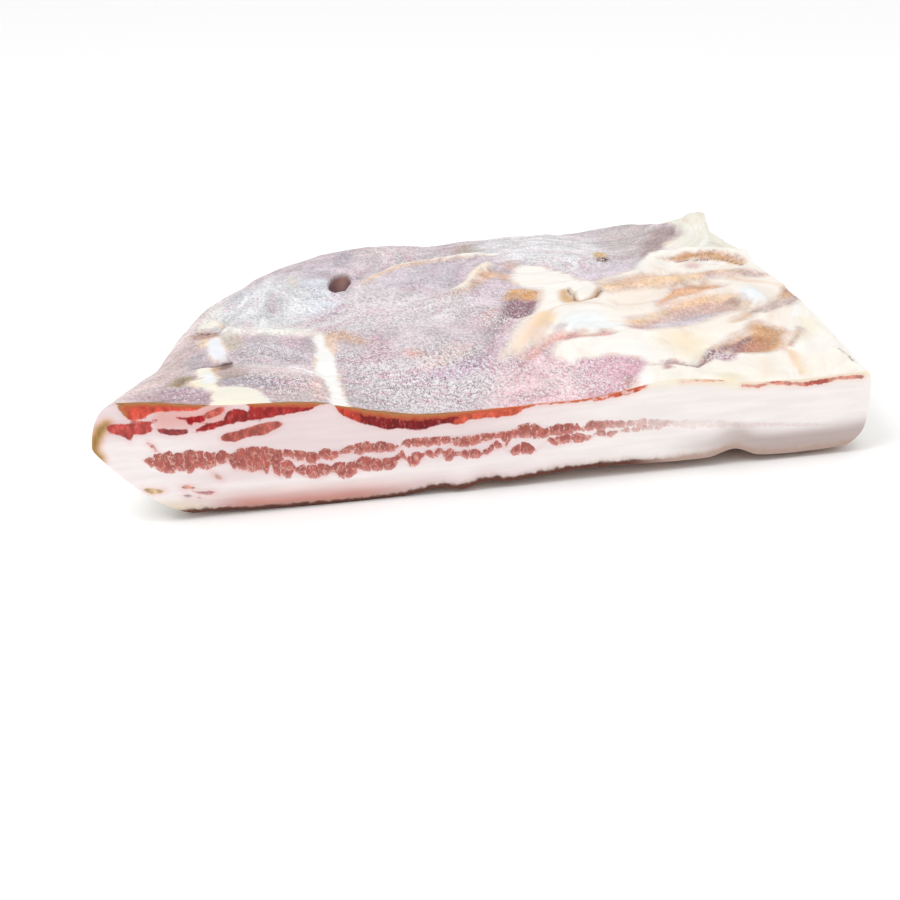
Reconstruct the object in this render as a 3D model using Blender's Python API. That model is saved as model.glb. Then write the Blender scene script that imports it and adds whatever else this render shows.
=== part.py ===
"""Half of a flat, dry-cured pancetta: one slab of pork belly, lying rind down.

The slab is one solid. The front is the fresh knife cut. The left end is the thick, rounded edge
of the belly, the right end is trimmed square, and the back is an uneven natural edge. The cured
top carries the muscles, seams and ridges of the meat side, and a blind hook hole.

X runs along the cut to the right, Y from the cut to the back and Z up. The origin is the centre
of the underside. Shape functions work in millimetres: x along the cut, depth back from the cut.
"""

import math

import bmesh
import bpy
from mathutils import Vector
from mathutils import noise

MM = 0.001
NAME = "pancetta_slab"

# Overall size of the slab, in millimetres
LENGTH = 315.0
DEPTH = 248.0
THICK_LEFT = 52.4
THICK_RIGHT = 35.6

# Cells of the grid along the cut, from front to back and through the thickness
CELLS_LENGTH = 56
CELLS_DEPTH = 40
CELLS_THICKNESS = 8

# Left outline: share of the depth, and how far the edge has come in from the front corner
LEFT_EDGE = ((0.0, 0.0), (0.10, 9.5), (0.22, 19.0), (0.40, 29.5), (0.53, 38.0), (0.66, 49.0),
             (0.80, 67.0), (0.92, 86.0), (1.0, 105.0))

# Right outline: share of the depth, and the waste taken off by the trim
RIGHT_EDGE = ((0.0, 2.8), (0.25, 1.2), (0.48, 0.0), (0.62, 3.0), (0.78, 4.5), (0.90, 8.0),
              (1.0, 4.5))

# Back outline: share of the length, and how far the edge falls short of the full depth
BACK_EDGE = ((0.0, 34.0), (0.10, 24.0), (0.26, 28.0), (0.42, 23.0), (0.60, 20.0), (0.72, 12.0),
             (0.80, 8.0), (0.87, 11.0), (0.95, 2.0), (1.0, 3.0))

# Top of the cut face, from the left end: x and height
CUT_TOP = ((-157.0, THICK_LEFT), (-136.0, 51.4), (-112.0, 47.8), (-74.0, 45.2), (-60.0, 42.0),
           (-45.0, 38.3), (-28.0, 35.3), (15.0, 34.8), (42.0, 35.4), (67.0, 39.6), (82.0, 39.2),
           (101.0, 36.0), (125.0, 34.8), (157.0, THICK_RIGHT))

# Lower edge of the cut face, from the left end: x and lift off the table
CUT_FOOT = ((-157.0, 4.0), (-121.0, 2.6), (-96.0, 1.0), (-60.0, 0.0), (-38.0, 0.6), (-23.0, 3.0),
            (-14.0, 1.6), (-5.0, 4.0), (5.0, 3.0), (35.0, 5.2), (86.0, 4.2), (98.0, 7.0),
            (108.0, 3.4), (132.0, 2.8), (157.0, 4.5))
FOOT_REACH = 28.0
CUT_TOP_REACH = 75.0

# Rounding of an edge: inset at the top and at the foot, share of the height where it is widest,
# and share of the foot's inset that is a straight slant, the rest being a short curl
NOSE = (10.0, 36.0, 0.62, 0.80)
SIDE = (13.0, 17.0, 0.52, 0.35)
TRIM = (1.8, 9.5, 0.80, 0.25)
BACK = (12.0, 14.0, 0.50, 0.30)
SLANT_POWER = 1.15
CURL_POWER = 7.0
NOSE_REACH = 0.45

# Pads and hollows of the top: x, depth, half length, half width, turn in degrees, height
PADS = ((-92.0, 27.0, 26.0, 15.0, -8.0, 1.3),
        (-88.0, 67.0, 20.0, 13.0, 0.0, 1.2),
        (-82.0, 124.0, 34.0, 26.0, 60.0, 1.8),
        (-18.0, 78.0, 44.0, 30.0, 20.0, -1.5),
        (-5.0, 152.0, 40.0, 18.0, 32.0, 1.6),
        (34.0, 108.0, 20.0, 8.0, 64.0, -3.6),
        (56.0, 95.0, 34.0, 15.0, 66.0, 2.8),
        (64.0, 114.0, 8.0, 6.0, 20.0, 2.2),
        (76.0, 60.0, 26.0, 12.0, 10.0, 1.8),
        (48.0, 28.0, 26.0, 16.0, 0.0, -1.2),
        (136.0, 98.0, 15.0, 6.5, 80.0, 2.0),
        (121.0, 50.0, 22.0, 10.0, 48.0, -1.8),
        (114.0, 188.0, 24.0, 13.0, 42.0, 1.8),
        (146.0, 222.0, 11.0, 9.0, 90.0, 5.0))

# Ridges and grooves of the top: height, half width, then the points they run through
RIDGES = ((2.2, 4.5, ((-34.0, 149.0), (-20.0, 161.0), (-6.0, 173.0), (28.0, 184.0))),
          (1.8, 4.5, ((-10.0, 115.0), (8.0, 131.0), (18.0, 146.0), (28.0, 167.0))),
          (-1.6, 4.0, ((-62.0, 10.0), (-63.0, 52.0), (-60.0, 86.0))),
          (-2.4, 3.5, ((-115.0, 51.0), (-99.0, 57.0))),
          (1.6, 5.0, ((-112.0, 96.0), (-85.0, 92.0), (-60.0, 88.0))),
          (-2.0, 3.5, ((72.0, 26.0), (88.0, 22.0), (98.0, 36.0), (116.0, 43.0))),
          (2.0, 5.0, ((82.0, 93.0), (108.0, 103.0), (136.0, 117.0))),
          (-1.6, 4.0, ((78.0, 73.0), (104.0, 85.0), (128.0, 99.0))),
          (2.2, 5.0, ((72.0, 120.0), (104.0, 128.0), (146.0, 137.0))),
          (3.0, 5.0, ((108.0, 167.0), (130.0, 171.0), (151.0, 161.0))),
          (-2.6, 4.0, ((114.0, 157.0), (130.0, 161.0), (148.0, 152.0))),
          (-1.8, 3.5, ((22.0, 47.0), (32.0, 60.0), (44.0, 65.0), (60.0, 62.0))))

# Low swell of the whole top, and fine unevenness, in height and in wavelength
SWELL_HEIGHT = 1.6
SWELL_LENGTH = 62.0
CRAG_HEIGHT = 0.9
CRAG_LENGTH = 17.0

# Blind hook hole in the top: place, half sizes, turn in degrees and depth of its centre
HOOK_HOLE = (-42.0, 157.0)
HOOK_HALF_WIDTH = 5.2
HOOK_HALF_LENGTH = 16.5
HOOK_DEPTH = 8.5
HOOK_TURN = -12.0
HOOK_RAISE = 1.0

CURED_FAT = (0.86, 0.74, 0.68, 1.0)
CURED_ROUGHNESS = 0.55


def clear_scene():
    """Remove whatever the open file holds."""
    for thing in list(bpy.data.objects):
        bpy.data.objects.remove(thing, do_unlink=True)


def collection(name):
    """Return a new collection linked to the scene."""
    group = bpy.data.collections.new(name)
    bpy.context.scene.collection.children.link(group)
    return group


def ease(low, high, value):
    """Return 0 below low, 1 above high and a smooth step between."""
    share = min(max((value - low) / (high - low), 0.0), 1.0)
    return share * share * (3.0 - 2.0 * share)


def mix(first, second, share):
    """Return the value the given share of the way from first to second."""
    return first + (second - first) * share


def through(stations, place):
    """Return the height of a smooth line through the stations at a place along it."""
    if place <= stations[0][0]:
        return stations[0][1]
    if place >= stations[-1][0]:
        return stations[-1][1]
    index = 0
    while stations[index + 1][0] < place:
        index += 1
    near = stations[index]
    far = stations[index + 1]
    before = stations[max(index - 1, 0)]
    after = stations[min(index + 2, len(stations) - 1)]
    span = far[0] - near[0]
    share = (place - near[0]) / span
    rise_near = span * (far[1] - before[1]) / (far[0] - before[0])
    rise_far = span * (after[1] - near[1]) / (after[0] - near[0])
    square = share * share
    cube = square * share
    return ((2.0 * cube - 3.0 * square + 1.0) * near[1] + (cube - 2.0 * square + share) * rise_near
            + (3.0 * square - 2.0 * cube) * far[1] + (cube - square) * rise_far)


def edge_inset(level, rounding):
    """Return how far a rounded edge lies inside its widest outline at a share of the height."""
    top, foot, widest, slant = rounding
    if level > widest:
        reach = (level - widest) / (1.0 - widest)
        return top * (1.0 - math.sqrt(1.0 - reach * reach))
    reach = (widest - level) / widest
    return foot * mix(reach ** CURL_POWER, reach ** SLANT_POWER, slant)


def left_side(share, level):
    """Return x of the left side at a share of the depth and of the height."""
    nose = 1.0 - ease(0.0, NOSE_REACH, share)
    inset = mix(edge_inset(level, SIDE), edge_inset(level, NOSE), nose)
    return -LENGTH / 2.0 + through(LEFT_EDGE, share) + inset


def right_side(share, level):
    """Return x of the trimmed right side at a share of the depth and of the height."""
    return LENGTH / 2.0 - through(RIGHT_EDGE, share) - edge_inset(level, TRIM)


def back_side(share, level):
    """Return the depth of the back edge at a share of the length and of the height."""
    return DEPTH - through(BACK_EDGE, share) - edge_inset(level, BACK)


def pad_height(x, depth, pad):
    """Return the height that one pad adds at a place on the top."""
    pad_x, pad_depth, half_length, half_width, turn, height = pad
    angle = math.radians(turn)
    along = (x - pad_x) * math.cos(angle) + (depth - pad_depth) * math.sin(angle)
    across = (depth - pad_depth) * math.cos(angle) - (x - pad_x) * math.sin(angle)
    reach = math.hypot(along / half_length, across / half_width)
    return height * (1.0 - ease(0.35, 1.25, reach))


def ridge_height(x, depth, ridge):
    """Return the height that one ridge or groove adds at a place on the top."""
    height, half_width, points = ridge
    nearest = math.inf
    for start, end in zip(points, points[1:]):
        run = Vector(end) - Vector(start)
        place = Vector((x, depth)) - Vector(start)
        share = min(max(place.dot(run) / run.length_squared, 0.0), 1.0)
        nearest = min(nearest, (place - run * share).length)
    return height * math.exp(-(nearest / half_width) ** 2)


def top_height(x, depth):
    """Return the height of the cured top over the table."""
    slope = mix(THICK_LEFT - 5.0, THICK_RIGHT + 0.8, (x + LENGTH / 2.0) / LENGTH)
    height = mix(through(CUT_TOP, x), slope, ease(0.0, CUT_TOP_REACH, depth))
    relief = sum(pad_height(x, depth, pad) for pad in PADS)
    relief += sum(ridge_height(x, depth, ridge) for ridge in RIDGES)
    relief += SWELL_HEIGHT * noise.noise(Vector((x, depth, 0.0)) / SWELL_LENGTH)
    relief += CRAG_HEIGHT * noise.noise(Vector((x, depth, 40.0)) / CRAG_LENGTH)
    return height + relief * ease(0.0, 14.0, depth)


def foot_height(x, depth):
    """Return the height of the rind over the table."""
    return max(through(CUT_FOOT, x), 0.0) * (1.0 - ease(0.0, FOOT_REACH, depth))


def slab_point(u, v, w):
    """Return the point of the slab, in millimetres, for a point of the cube from -1 to 1."""
    along = (u + 1.0) / 2.0
    back = (v + 1.0) / 2.0
    level = (w + 1.0) / 2.0
    x = mix(left_side(back, level), right_side(back, level), along)
    depth = mix(0.0, back_side(along, level), back)
    height = mix(foot_height(x, depth), top_height(x, depth), level)
    return Vector((x, depth, height))


def cut_edges(mesh, axis, cells):
    """Cut every edge that runs along an axis of the cube into the given number of cells."""
    edges = [edge for edge in mesh.edges
             if abs((edge.verts[0].co - edge.verts[1].co)[axis]) > 1.0]
    bmesh.ops.subdivide_edges(mesh, edges=edges, cuts=cells - 1, use_grid_fill=True)


def build_slab(group, material):
    """Build the slab from a cut-up cube and centre it over the origin."""
    mesh = bmesh.new()
    bmesh.ops.create_cube(mesh, size=2.0)
    for axis, cells in enumerate((CELLS_LENGTH, CELLS_DEPTH, CELLS_THICKNESS)):
        cut_edges(mesh, axis, cells)
    for vertex in mesh.verts:
        vertex.co = slab_point(*vertex.co) * MM
    bmesh.ops.recalc_face_normals(mesh, faces=mesh.faces)
    data = bpy.data.meshes.new(NAME)
    mesh.to_mesh(data)
    mesh.free()
    lowest = Vector(min(vertex.co[axis] for vertex in data.vertices) for axis in range(3))
    highest = Vector(max(vertex.co[axis] for vertex in data.vertices) for axis in range(3))
    shift = -(lowest + highest) / 2.0
    shift.z = -lowest.z
    for vertex in data.vertices:
        vertex.co += shift
    data.materials.append(material)
    data.shade_smooth()
    slab = bpy.data.objects.new(NAME, data)
    group.objects.link(slab)
    return slab, shift


def cut_hook_hole(slab, shift, group):
    """Sink the blind oval hole that the curing hook left in the top."""
    mesh = bmesh.new()
    bmesh.ops.create_uvsphere(mesh, u_segments=16, v_segments=10, radius=1.0)
    data = bpy.data.meshes.new("hook_cutter")
    mesh.to_mesh(data)
    mesh.free()
    for vertex in data.vertices:
        half = Vector((HOOK_HALF_WIDTH, HOOK_HALF_LENGTH, HOOK_DEPTH)) * MM
        vertex.co = vertex.co * half
    cutter = bpy.data.objects.new("hook_cutter", data)
    height = top_height(*HOOK_HOLE) + HOOK_RAISE
    cutter.location = Vector((*HOOK_HOLE, height)) * MM + shift
    cutter.rotation_euler.z = math.radians(HOOK_TURN)
    cutter.hide_render = True
    cutter.display_type = "WIRE"
    group.objects.link(cutter)
    hole = slab.modifiers.new("hook hole", "BOOLEAN")
    hole.operation = "DIFFERENCE"
    hole.solver = "EXACT"
    hole.object = cutter


def cured_belly():
    """Return the material of the slab: cured fat, pale and slightly pink."""
    material = bpy.data.materials.new("cured_belly")
    material.use_nodes = True
    shader = material.node_tree.nodes["Principled BSDF"]
    shader.inputs["Base Color"].default_value = CURED_FAT
    shader.inputs["Roughness"].default_value = CURED_ROUGHNESS
    shader.inputs["Metallic"].default_value = 0.0
    return material


def main():
    """Build the pancetta."""
    clear_scene()
    slab, shift = build_slab(collection("pancetta"), cured_belly())
    cut_hook_hole(slab, shift, collection("cutters"))


main()
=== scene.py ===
"""Looks of half a flat, dry-cured pancetta: one slab of pork belly, lying rind down.

The slab's form is worked out again, finer than in the solid but from the same sizes, and
carries fields of lean, fat, dried rim, seam and salt. The finishes turn them into marbled meat,
waxy fat, frosted cured lean and rind. Sizes are in millimetres: x along the cut, depth back
from it, height over the table. Tones are 8-bit screen values.
"""

import logging
import math
from collections.abc import Callable
from dataclasses import dataclass
from enum import Enum

import bmesh
import bpy
import numpy as np
from mathutils import Matrix, Vector, noise


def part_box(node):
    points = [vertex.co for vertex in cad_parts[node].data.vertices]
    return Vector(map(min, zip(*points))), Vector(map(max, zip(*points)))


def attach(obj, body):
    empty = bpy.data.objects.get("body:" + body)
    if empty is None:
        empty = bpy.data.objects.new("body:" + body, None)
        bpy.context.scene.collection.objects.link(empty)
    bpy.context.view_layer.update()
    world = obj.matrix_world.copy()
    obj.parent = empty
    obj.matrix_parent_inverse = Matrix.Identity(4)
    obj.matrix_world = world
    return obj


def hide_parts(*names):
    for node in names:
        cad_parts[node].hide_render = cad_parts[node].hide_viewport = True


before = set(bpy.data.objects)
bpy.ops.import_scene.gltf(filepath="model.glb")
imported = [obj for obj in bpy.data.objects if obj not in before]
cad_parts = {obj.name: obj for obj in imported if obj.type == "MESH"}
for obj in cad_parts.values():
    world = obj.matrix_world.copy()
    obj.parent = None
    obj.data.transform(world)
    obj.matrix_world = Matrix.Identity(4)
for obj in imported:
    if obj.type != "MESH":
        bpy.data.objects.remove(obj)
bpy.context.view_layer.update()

MM = 0.001
NODE = "pancetta_slab"
LOG = logging.getLogger("pancetta")

Array = np.ndarray
Pair = tuple[float, float]
Line = tuple[Pair, ...]
Tone = tuple[int, int, int]
Triple = tuple[float, float, float]
Socket = bpy.types.NodeSocket
Sockets = bpy.types.bpy_prop_collection
Value = Socket | float | tuple[float, ...]

BRIGHT = 1.16            # how much brighter the studio's light makes a tone
ON_FACE = 0.999          # a place on the cube beyond this lies on that side of it


def linear(tone: Tone) -> Triple:
    """Turn an 8-bit tone, as seen under the studio's light, into a linear colour.

    Args:
        tone: red, green and blue from 0 to 255.

    Returns:
        The same colour as linear values from 0 to 1.
    """
    shares = (value / 255.0 for value in tone)
    return tuple((s / 12.92 if s <= 0.04045 else ((s + 0.055) / 1.055) ** 2.4) / BRIGHT
                 for s in shares)


def ease(low: float | Array, high: float | Array, value: Array) -> Array:
    """Return 0 below low, 1 above high and a smooth step between.

    Args:
        low: where the step starts; it may lie above high, for a falling step.
        high: where the step ends.
        value: the values to step.

    Returns:
        The step at each value.
    """
    share = np.clip((value - low) / (high - low), 0.0, 1.0)
    return share * share * (3.0 - 2.0 * share)


def mix(first: Array | float, second: Array | float, share: Array | float) -> Array:
    """Return the value the given share of the way from first to second."""
    return first + (second - first) * share


def through(stations: Line, place: Array) -> Array:
    """Follow a smooth line through stations.

    Args:
        stations: place and height of each station, in order.
        place: where the line is read.

    Returns:
        The height of the line at each place, level beyond both ends.
    """
    place = np.asarray(place, dtype=float)
    spots = np.array([station[0] for station in stations])
    heights = np.array([station[1] for station in stations])
    inside = np.clip(place, spots[0], spots[-1])
    index = np.clip(np.searchsorted(spots, inside, side="right") - 1, 0, len(spots) - 2)
    before = np.maximum(index - 1, 0)
    after = np.minimum(index + 2, len(spots) - 1)
    span = spots[index + 1] - spots[index]
    share = (inside - spots[index]) / span
    rise_near = span * (heights[index + 1] - heights[before]) / (spots[index + 1] - spots[before])
    rise_far = span * (heights[after] - heights[index]) / (spots[after] - spots[index])
    square = share * share
    cube = square * share
    return ((2.0 * cube - 3.0 * square + 1.0) * heights[index]
            + (cube - 2.0 * square + share) * rise_near
            + (3.0 * square - 2.0 * cube) * heights[index + 1]
            + (cube - square) * rise_far)


def rough(first: Array, second: Array, length: float, layer: float) -> Array:
    """Read smooth noise on a plane.

    Args:
        first: first coordinate of each place, in millimetres.
        second: second coordinate of each place.
        length: wavelength of the noise.
        layer: which slice of the noise is read, also in millimetres.

    Returns:
        Noise from about -1 to 1 at each place.
    """
    height = layer / length
    return np.array([noise.noise((a, b, height)) for a, b in zip(first / length, second / length)])


def line_distance(first: Array, second: Array, points: Line) -> Array:
    """Measure how far each place lies from an open line.

    Args:
        first: first coordinate of each place.
        second: second coordinate of each place.
        points: the line's points, in order.

    Returns:
        The distance to the line.
    """
    nearest = np.full(first.shape, np.inf)
    for start, end in zip(points, points[1:]):
        run = np.subtract(end, start)
        share = ((first - start[0]) * run[0] + (second - start[1]) * run[1]) / np.dot(run, run)
        share = np.clip(share, 0.0, 1.0)
        gap = np.hypot(first - start[0] - share * run[0], second - start[1] - share * run[1])
        nearest = np.minimum(nearest, gap)
    return nearest


def rounded(points: Line, steps: int = 4) -> Line:
    """Round a closed outline into a smooth one that passes through its points.

    Args:
        points: corners of the outline.
        steps: runs between two corners.

    Returns:
        The points of the smooth outline.
    """
    count = len(points)
    outline = []
    for index in range(count):
        around = [np.array(points[(index + shift) % count]) for shift in (-1, 0, 1, 2)]
        before, near, far, after = around
        for step in range(steps):
            t = step / steps
            place = 0.5 * (2.0 * near + (far - before) * t
                           + (2.0 * before - 5.0 * near + 4.0 * far - after) * t ** 2
                           + (3.0 * near - before - 3.0 * far + after) * t ** 3)
            outline.append(tuple(place))
    return tuple(outline)


def inside_distance(first: Array, second: Array, outline: Line) -> Array:
    """Measure how deep each place lies in a closed outline.

    Args:
        first: first coordinate of each place.
        second: second coordinate of each place.
        outline: corners of the outline.

    Returns:
        Distance to the outline, positive inside it and negative outside.
    """
    inside = np.zeros(first.shape, dtype=bool)
    for (ax, ay), (bx, by) in zip(outline, outline[1:] + outline[:1]):
        if ay == by:
            continue
        crosses = (ay > second) != (by > second)
        inside ^= crosses & (first < ax + (second - ay) * (bx - ax) / (by - ay))
    gap = line_distance(first, second, outline + outline[:1])
    return np.where(inside, gap, -gap)


def placed(name: str, data: bpy.types.ID) -> bpy.types.Object:
    """Put an object into the scene.

    Args:
        name: its name.
        data: its mesh, camera or light.

    Returns:
        The object.
    """
    thing = bpy.data.objects.new(name, data)
    bpy.context.scene.collection.objects.link(thing)
    return thing


@dataclass(frozen=True)
class Rounding:
    """How an edge of the slab is rounded, in millimetres and shares of the height."""

    top: float
    foot: float
    widest: float
    slant: float

    def inset(self, level: Array) -> Array:
        """Work out how far the edge lies inside its widest outline.

        Args:
            level: share of the slab's height.

        Returns:
            The inset at each level, in millimetres.
        """
        slant_power = 1.15
        curl_power = 7.0
        above = np.clip((level - self.widest) / (1.0 - self.widest), 0.0, 1.0)
        below = np.clip((self.widest - level) / self.widest, 0.0, 1.0)
        under = mix(below ** curl_power, below ** slant_power, self.slant)
        return np.where(level > self.widest, self.top * (1.0 - np.sqrt(1.0 - above ** 2)),
                        self.foot * under)


@dataclass(frozen=True)
class Pad:
    """A pad or hollow of the top: place, half sizes, turn in degrees and height."""

    x: float
    depth: float
    half_length: float
    half_width: float
    turn: float
    height: float

    def lift(self, x: Array, depth: Array) -> Array:
        """Work out the height that the pad adds.

        Args:
            x: along the cut.
            depth: back from the cut.

        Returns:
            The added height at each place.
        """
        angle = math.radians(self.turn)
        along = (x - self.x) * math.cos(angle) + (depth - self.depth) * math.sin(angle)
        across = (depth - self.depth) * math.cos(angle) - (x - self.x) * math.sin(angle)
        reach = np.hypot(along / self.half_length, across / self.half_width)
        core, border = 0.35, 1.25
        return self.height * (1.0 - ease(core, border, reach))


@dataclass(frozen=True)
class Ridge:
    """A ridge or groove of the top: height, half width and the points it runs through."""

    height: float
    half_width: float
    points: Line

    def lift(self, x: Array, depth: Array) -> Array:
        """Return the height that the ridge adds at each place."""
        gap = line_distance(x, depth, self.points)
        return self.height * np.exp(-(gap / self.half_width) ** 2)


@dataclass
class SlabForm:
    """The form of the whole slab, from a cube of -1 to 1 to millimetres."""

    length: float = 315.0
    depth: float = 248.0
    thick_left: float = 52.4
    thick_right: float = 35.6
    left_edge: Line = (
        (0, 0), (0.10, 9.5), (0.22, 19), (0.40, 29.5), (0.53, 38), (0.66, 49), (0.80, 67),
        (0.92, 86), (1, 105))
    right_edge: Line = (
        (0, 2.8), (0.25, 1.2), (0.48, 0), (0.62, 3), (0.78, 4.5), (0.90, 8), (1, 4.5))
    back_edge: Line = (
        (0, 34), (0.10, 24), (0.26, 28), (0.42, 23), (0.60, 20), (0.72, 12), (0.80, 8), (0.87, 11),
        (0.95, 2), (1, 3))
    cut_top: Line = (
        (-157, 52.4), (-136, 51.4), (-112, 47.8), (-74, 45.2), (-60, 42), (-45, 38.3), (-28, 35.3),
        (15, 34.8), (42, 35.4), (67, 39.6), (82, 39.2), (101, 36), (125, 34.8), (157, 35.6))
    cut_foot: Line = (
        (-157, 4), (-121, 2.6), (-96, 1), (-60, 0), (-38, 0.6), (-23, 3), (-14, 1.6), (-5, 4),
        (5, 3), (35, 5.2), (86, 4.2), (98, 7), (108, 3.4), (132, 2.8), (157, 4.5))
    left_drop: float = 5.0
    right_rise: float = 0.8
    foot_reach: float = 28.0
    cut_top_reach: float = 75.0
    relief_reach: float = 14.0
    nose_reach: float = 0.45
    nose: Rounding = Rounding(10.0, 36.0, 0.62, 0.80)
    side: Rounding = Rounding(13.0, 17.0, 0.52, 0.35)
    trim: Rounding = Rounding(1.8, 9.5, 0.80, 0.25)
    back: Rounding = Rounding(12.0, 14.0, 0.50, 0.30)
    pads: tuple[Pad, ...] = (
        Pad(-92, 27, 26, 15, -8, 1.3), Pad(-88, 67, 20, 13, 0, 1.2),
        Pad(-82, 124, 34, 26, 60, 1.8), Pad(-18, 78, 44, 30, 20, -1.5),
        Pad(-5, 152, 40, 18, 32, 1.6), Pad(34, 108, 20, 8, 64, -3.6),
        Pad(56, 95, 34, 15, 66, 2.8), Pad(64, 114, 8, 6, 20, 2.2),
        Pad(76, 60, 26, 12, 10, 1.8), Pad(48, 28, 26, 16, 0, -1.2),
        Pad(136, 98, 15, 6.5, 80, 2), Pad(121, 50, 22, 10, 48, -1.8),
        Pad(114, 188, 24, 13, 42, 1.8), Pad(146, 222, 11, 9, 90, 5))
    ridges: tuple[Ridge, ...] = (
        Ridge(2.2, 4.5, ((-34, 149), (-20, 161), (-6, 173), (28, 184))),
        Ridge(1.8, 4.5, ((-10, 115), (8, 131), (18, 146), (28, 167))),
        Ridge(-1.6, 4, ((-62, 10), (-63, 52), (-60, 86))),
        Ridge(-2.4, 3.5, ((-115, 51), (-99, 57))),
        Ridge(1.6, 5, ((-112, 96), (-85, 92), (-60, 88))),
        Ridge(-2, 3.5, ((72, 26), (88, 22), (98, 36), (116, 43))),
        Ridge(2, 5, ((82, 93), (108, 103), (136, 117))),
        Ridge(-1.6, 4, ((78, 73), (104, 85), (128, 99))),
        Ridge(2.2, 5, ((72, 120), (104, 128), (146, 137))),
        Ridge(3, 5, ((108, 167), (130, 171), (151, 161))),
        Ridge(-2.6, 4, ((114, 157), (130, 161), (148, 152))),
        Ridge(-1.8, 3.5, ((22, 47), (32, 60), (44, 65), (60, 62))))
    swell_height: float = 1.6
    swell_length: float = 62.0
    crag_height: float = 0.9
    crag_length: float = 17.0
    crag_layer: float = 40.0
    hook_place: Pair = (-42.0, 157.0)
    hook_half: Triple = (5.2, 16.5, 8.5)
    hook_turn: float = -12.0
    hook_raise: float = 1.0

    def left_side(self, share: Array, level: Array) -> Array:
        """Work out x of the left side, which ends in a thick nose at the cut.

        Args:
            share: share of the slab's depth.
            level: share of the slab's height.

        Returns:
            x of the side.
        """
        nose = 1.0 - ease(0.0, self.nose_reach, share)
        inset = mix(self.side.inset(level), self.nose.inset(level), nose)
        return -self.length / 2.0 + through(self.left_edge, share) + inset

    def right_side(self, share: Array, level: Array) -> Array:
        """Return x of the trimmed right side at a share of the depth and of the height."""
        return self.length / 2.0 - through(self.right_edge, share) - self.trim.inset(level)

    def back_side(self, share: Array, level: Array) -> Array:
        """Return the depth of the back edge at a share of the length and of the height."""
        return self.depth - through(self.back_edge, share) - self.back.inset(level)

    def cut_top_height(self, x: Array) -> Array:
        """Return the height of the top edge of the cut."""
        return through(self.cut_top, x)

    def cut_foot_height(self, x: Array) -> Array:
        """Return the height of the lower edge of the cut."""
        return np.maximum(through(self.cut_foot, x), 0.0)

    def top_height(self, x: Array, depth: Array) -> Array:
        """Work out the height of the cured top, as in the solid.

        Args:
            x: along the cut.
            depth: back from the cut.

        Returns:
            The height over the table.
        """
        share = (x + self.length / 2.0) / self.length
        slope = mix(self.thick_left - self.left_drop, self.thick_right + self.right_rise, share)
        height = mix(self.cut_top_height(x), slope, ease(0.0, self.cut_top_reach, depth))
        relief = sum(shape.lift(x, depth) for shape in self.pads + self.ridges)
        relief = relief + self.swell_height * rough(x, depth, self.swell_length, 0.0)
        relief = relief + self.crag_height * rough(x, depth, self.crag_length, self.crag_layer)
        return height + relief * ease(0.0, self.relief_reach, depth)

    def foot_height(self, x: Array, depth: Array) -> Array:
        """Return the height of the rind over the table."""
        return self.cut_foot_height(x) * (1.0 - ease(0.0, self.foot_reach, depth))

    def plan(self, cube: Array) -> tuple[Array, Array, Array]:
        """Return x, depth and level of points of the cube.

        Args:
            cube: rows of three values from -1 to 1.

        Returns:
            x along the cut, depth back from it and share of the height.
        """
        along, back, level = ((cube[:, axis] + 1.0) / 2.0 for axis in range(3))
        x = mix(self.left_side(back, level), self.right_side(back, level), along)
        depth = back * self.back_side(along, level)
        return x, depth, level

    def hook_floor(self, x: Array, depth: Array) -> Array:
        """Work out the height of the hook hole's wall.

        Args:
            x: along the cut.
            depth: back from the cut.

        Returns:
            The height of the wall, infinite beside the hole.
        """
        turn = math.radians(self.hook_turn)
        place = np.array([[self.hook_place[0]], [self.hook_place[1]]])
        across = (x - place[0]) * math.cos(turn) + (depth - place[1]) * math.sin(turn)
        along = (depth - place[1]) * math.cos(turn) - (x - place[0]) * math.sin(turn)
        reach = (across / self.hook_half[0]) ** 2 + (along / self.hook_half[1]) ** 2
        mouth = self.top_height(*place)[0] + self.hook_raise
        sunk = mouth - self.hook_half[2] * np.sqrt(np.clip(1.0 - reach, 0.0, 1.0))
        return np.where(reach < 1.0, sunk, np.inf)


@dataclass(frozen=True)
class Muscle:
    """One piece of lean in the cut: its tone, and its outline in x and height."""

    tone: Tone
    points: Line

    def depth_inside(self, x: Array, height: Array) -> Array:
        """Return how deep each place lies in the muscle."""
        return inside_distance(x, height, rounded(self.points))


@dataclass(frozen=True)
class Streak:
    """A band of lobed lean in the cut.

    Each station is its x, the height of the upper and of the lower edge. Where the edges meet,
    fat parts the band.
    """

    lobe_width: float
    tone: Tone
    stations: tuple[Triple, ...]

    def edge(self, side: int) -> Line:
        """Return the upper edge, side 1, or the lower edge, side 2."""
        return tuple((station[0], station[side]) for station in self.stations)

    def depth_inside(self, x: Array, height: Array) -> Array:
        """Measure how deep each place lies in the band.

        Args:
            x: along the cut.
            height: over the table.

        Returns:
            The depth inside the band, negative outside it.
        """
        spots = [station[0] for station in self.stations]
        upper = np.interp(x, spots, [station[1] for station in self.stations])
        lower = np.interp(x, spots, [station[2] for station in self.stations])
        ends = np.minimum(x - spots[0], spots[-1] - x)
        return np.minimum(np.minimum(upper - height, height - lower), ends)


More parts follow.
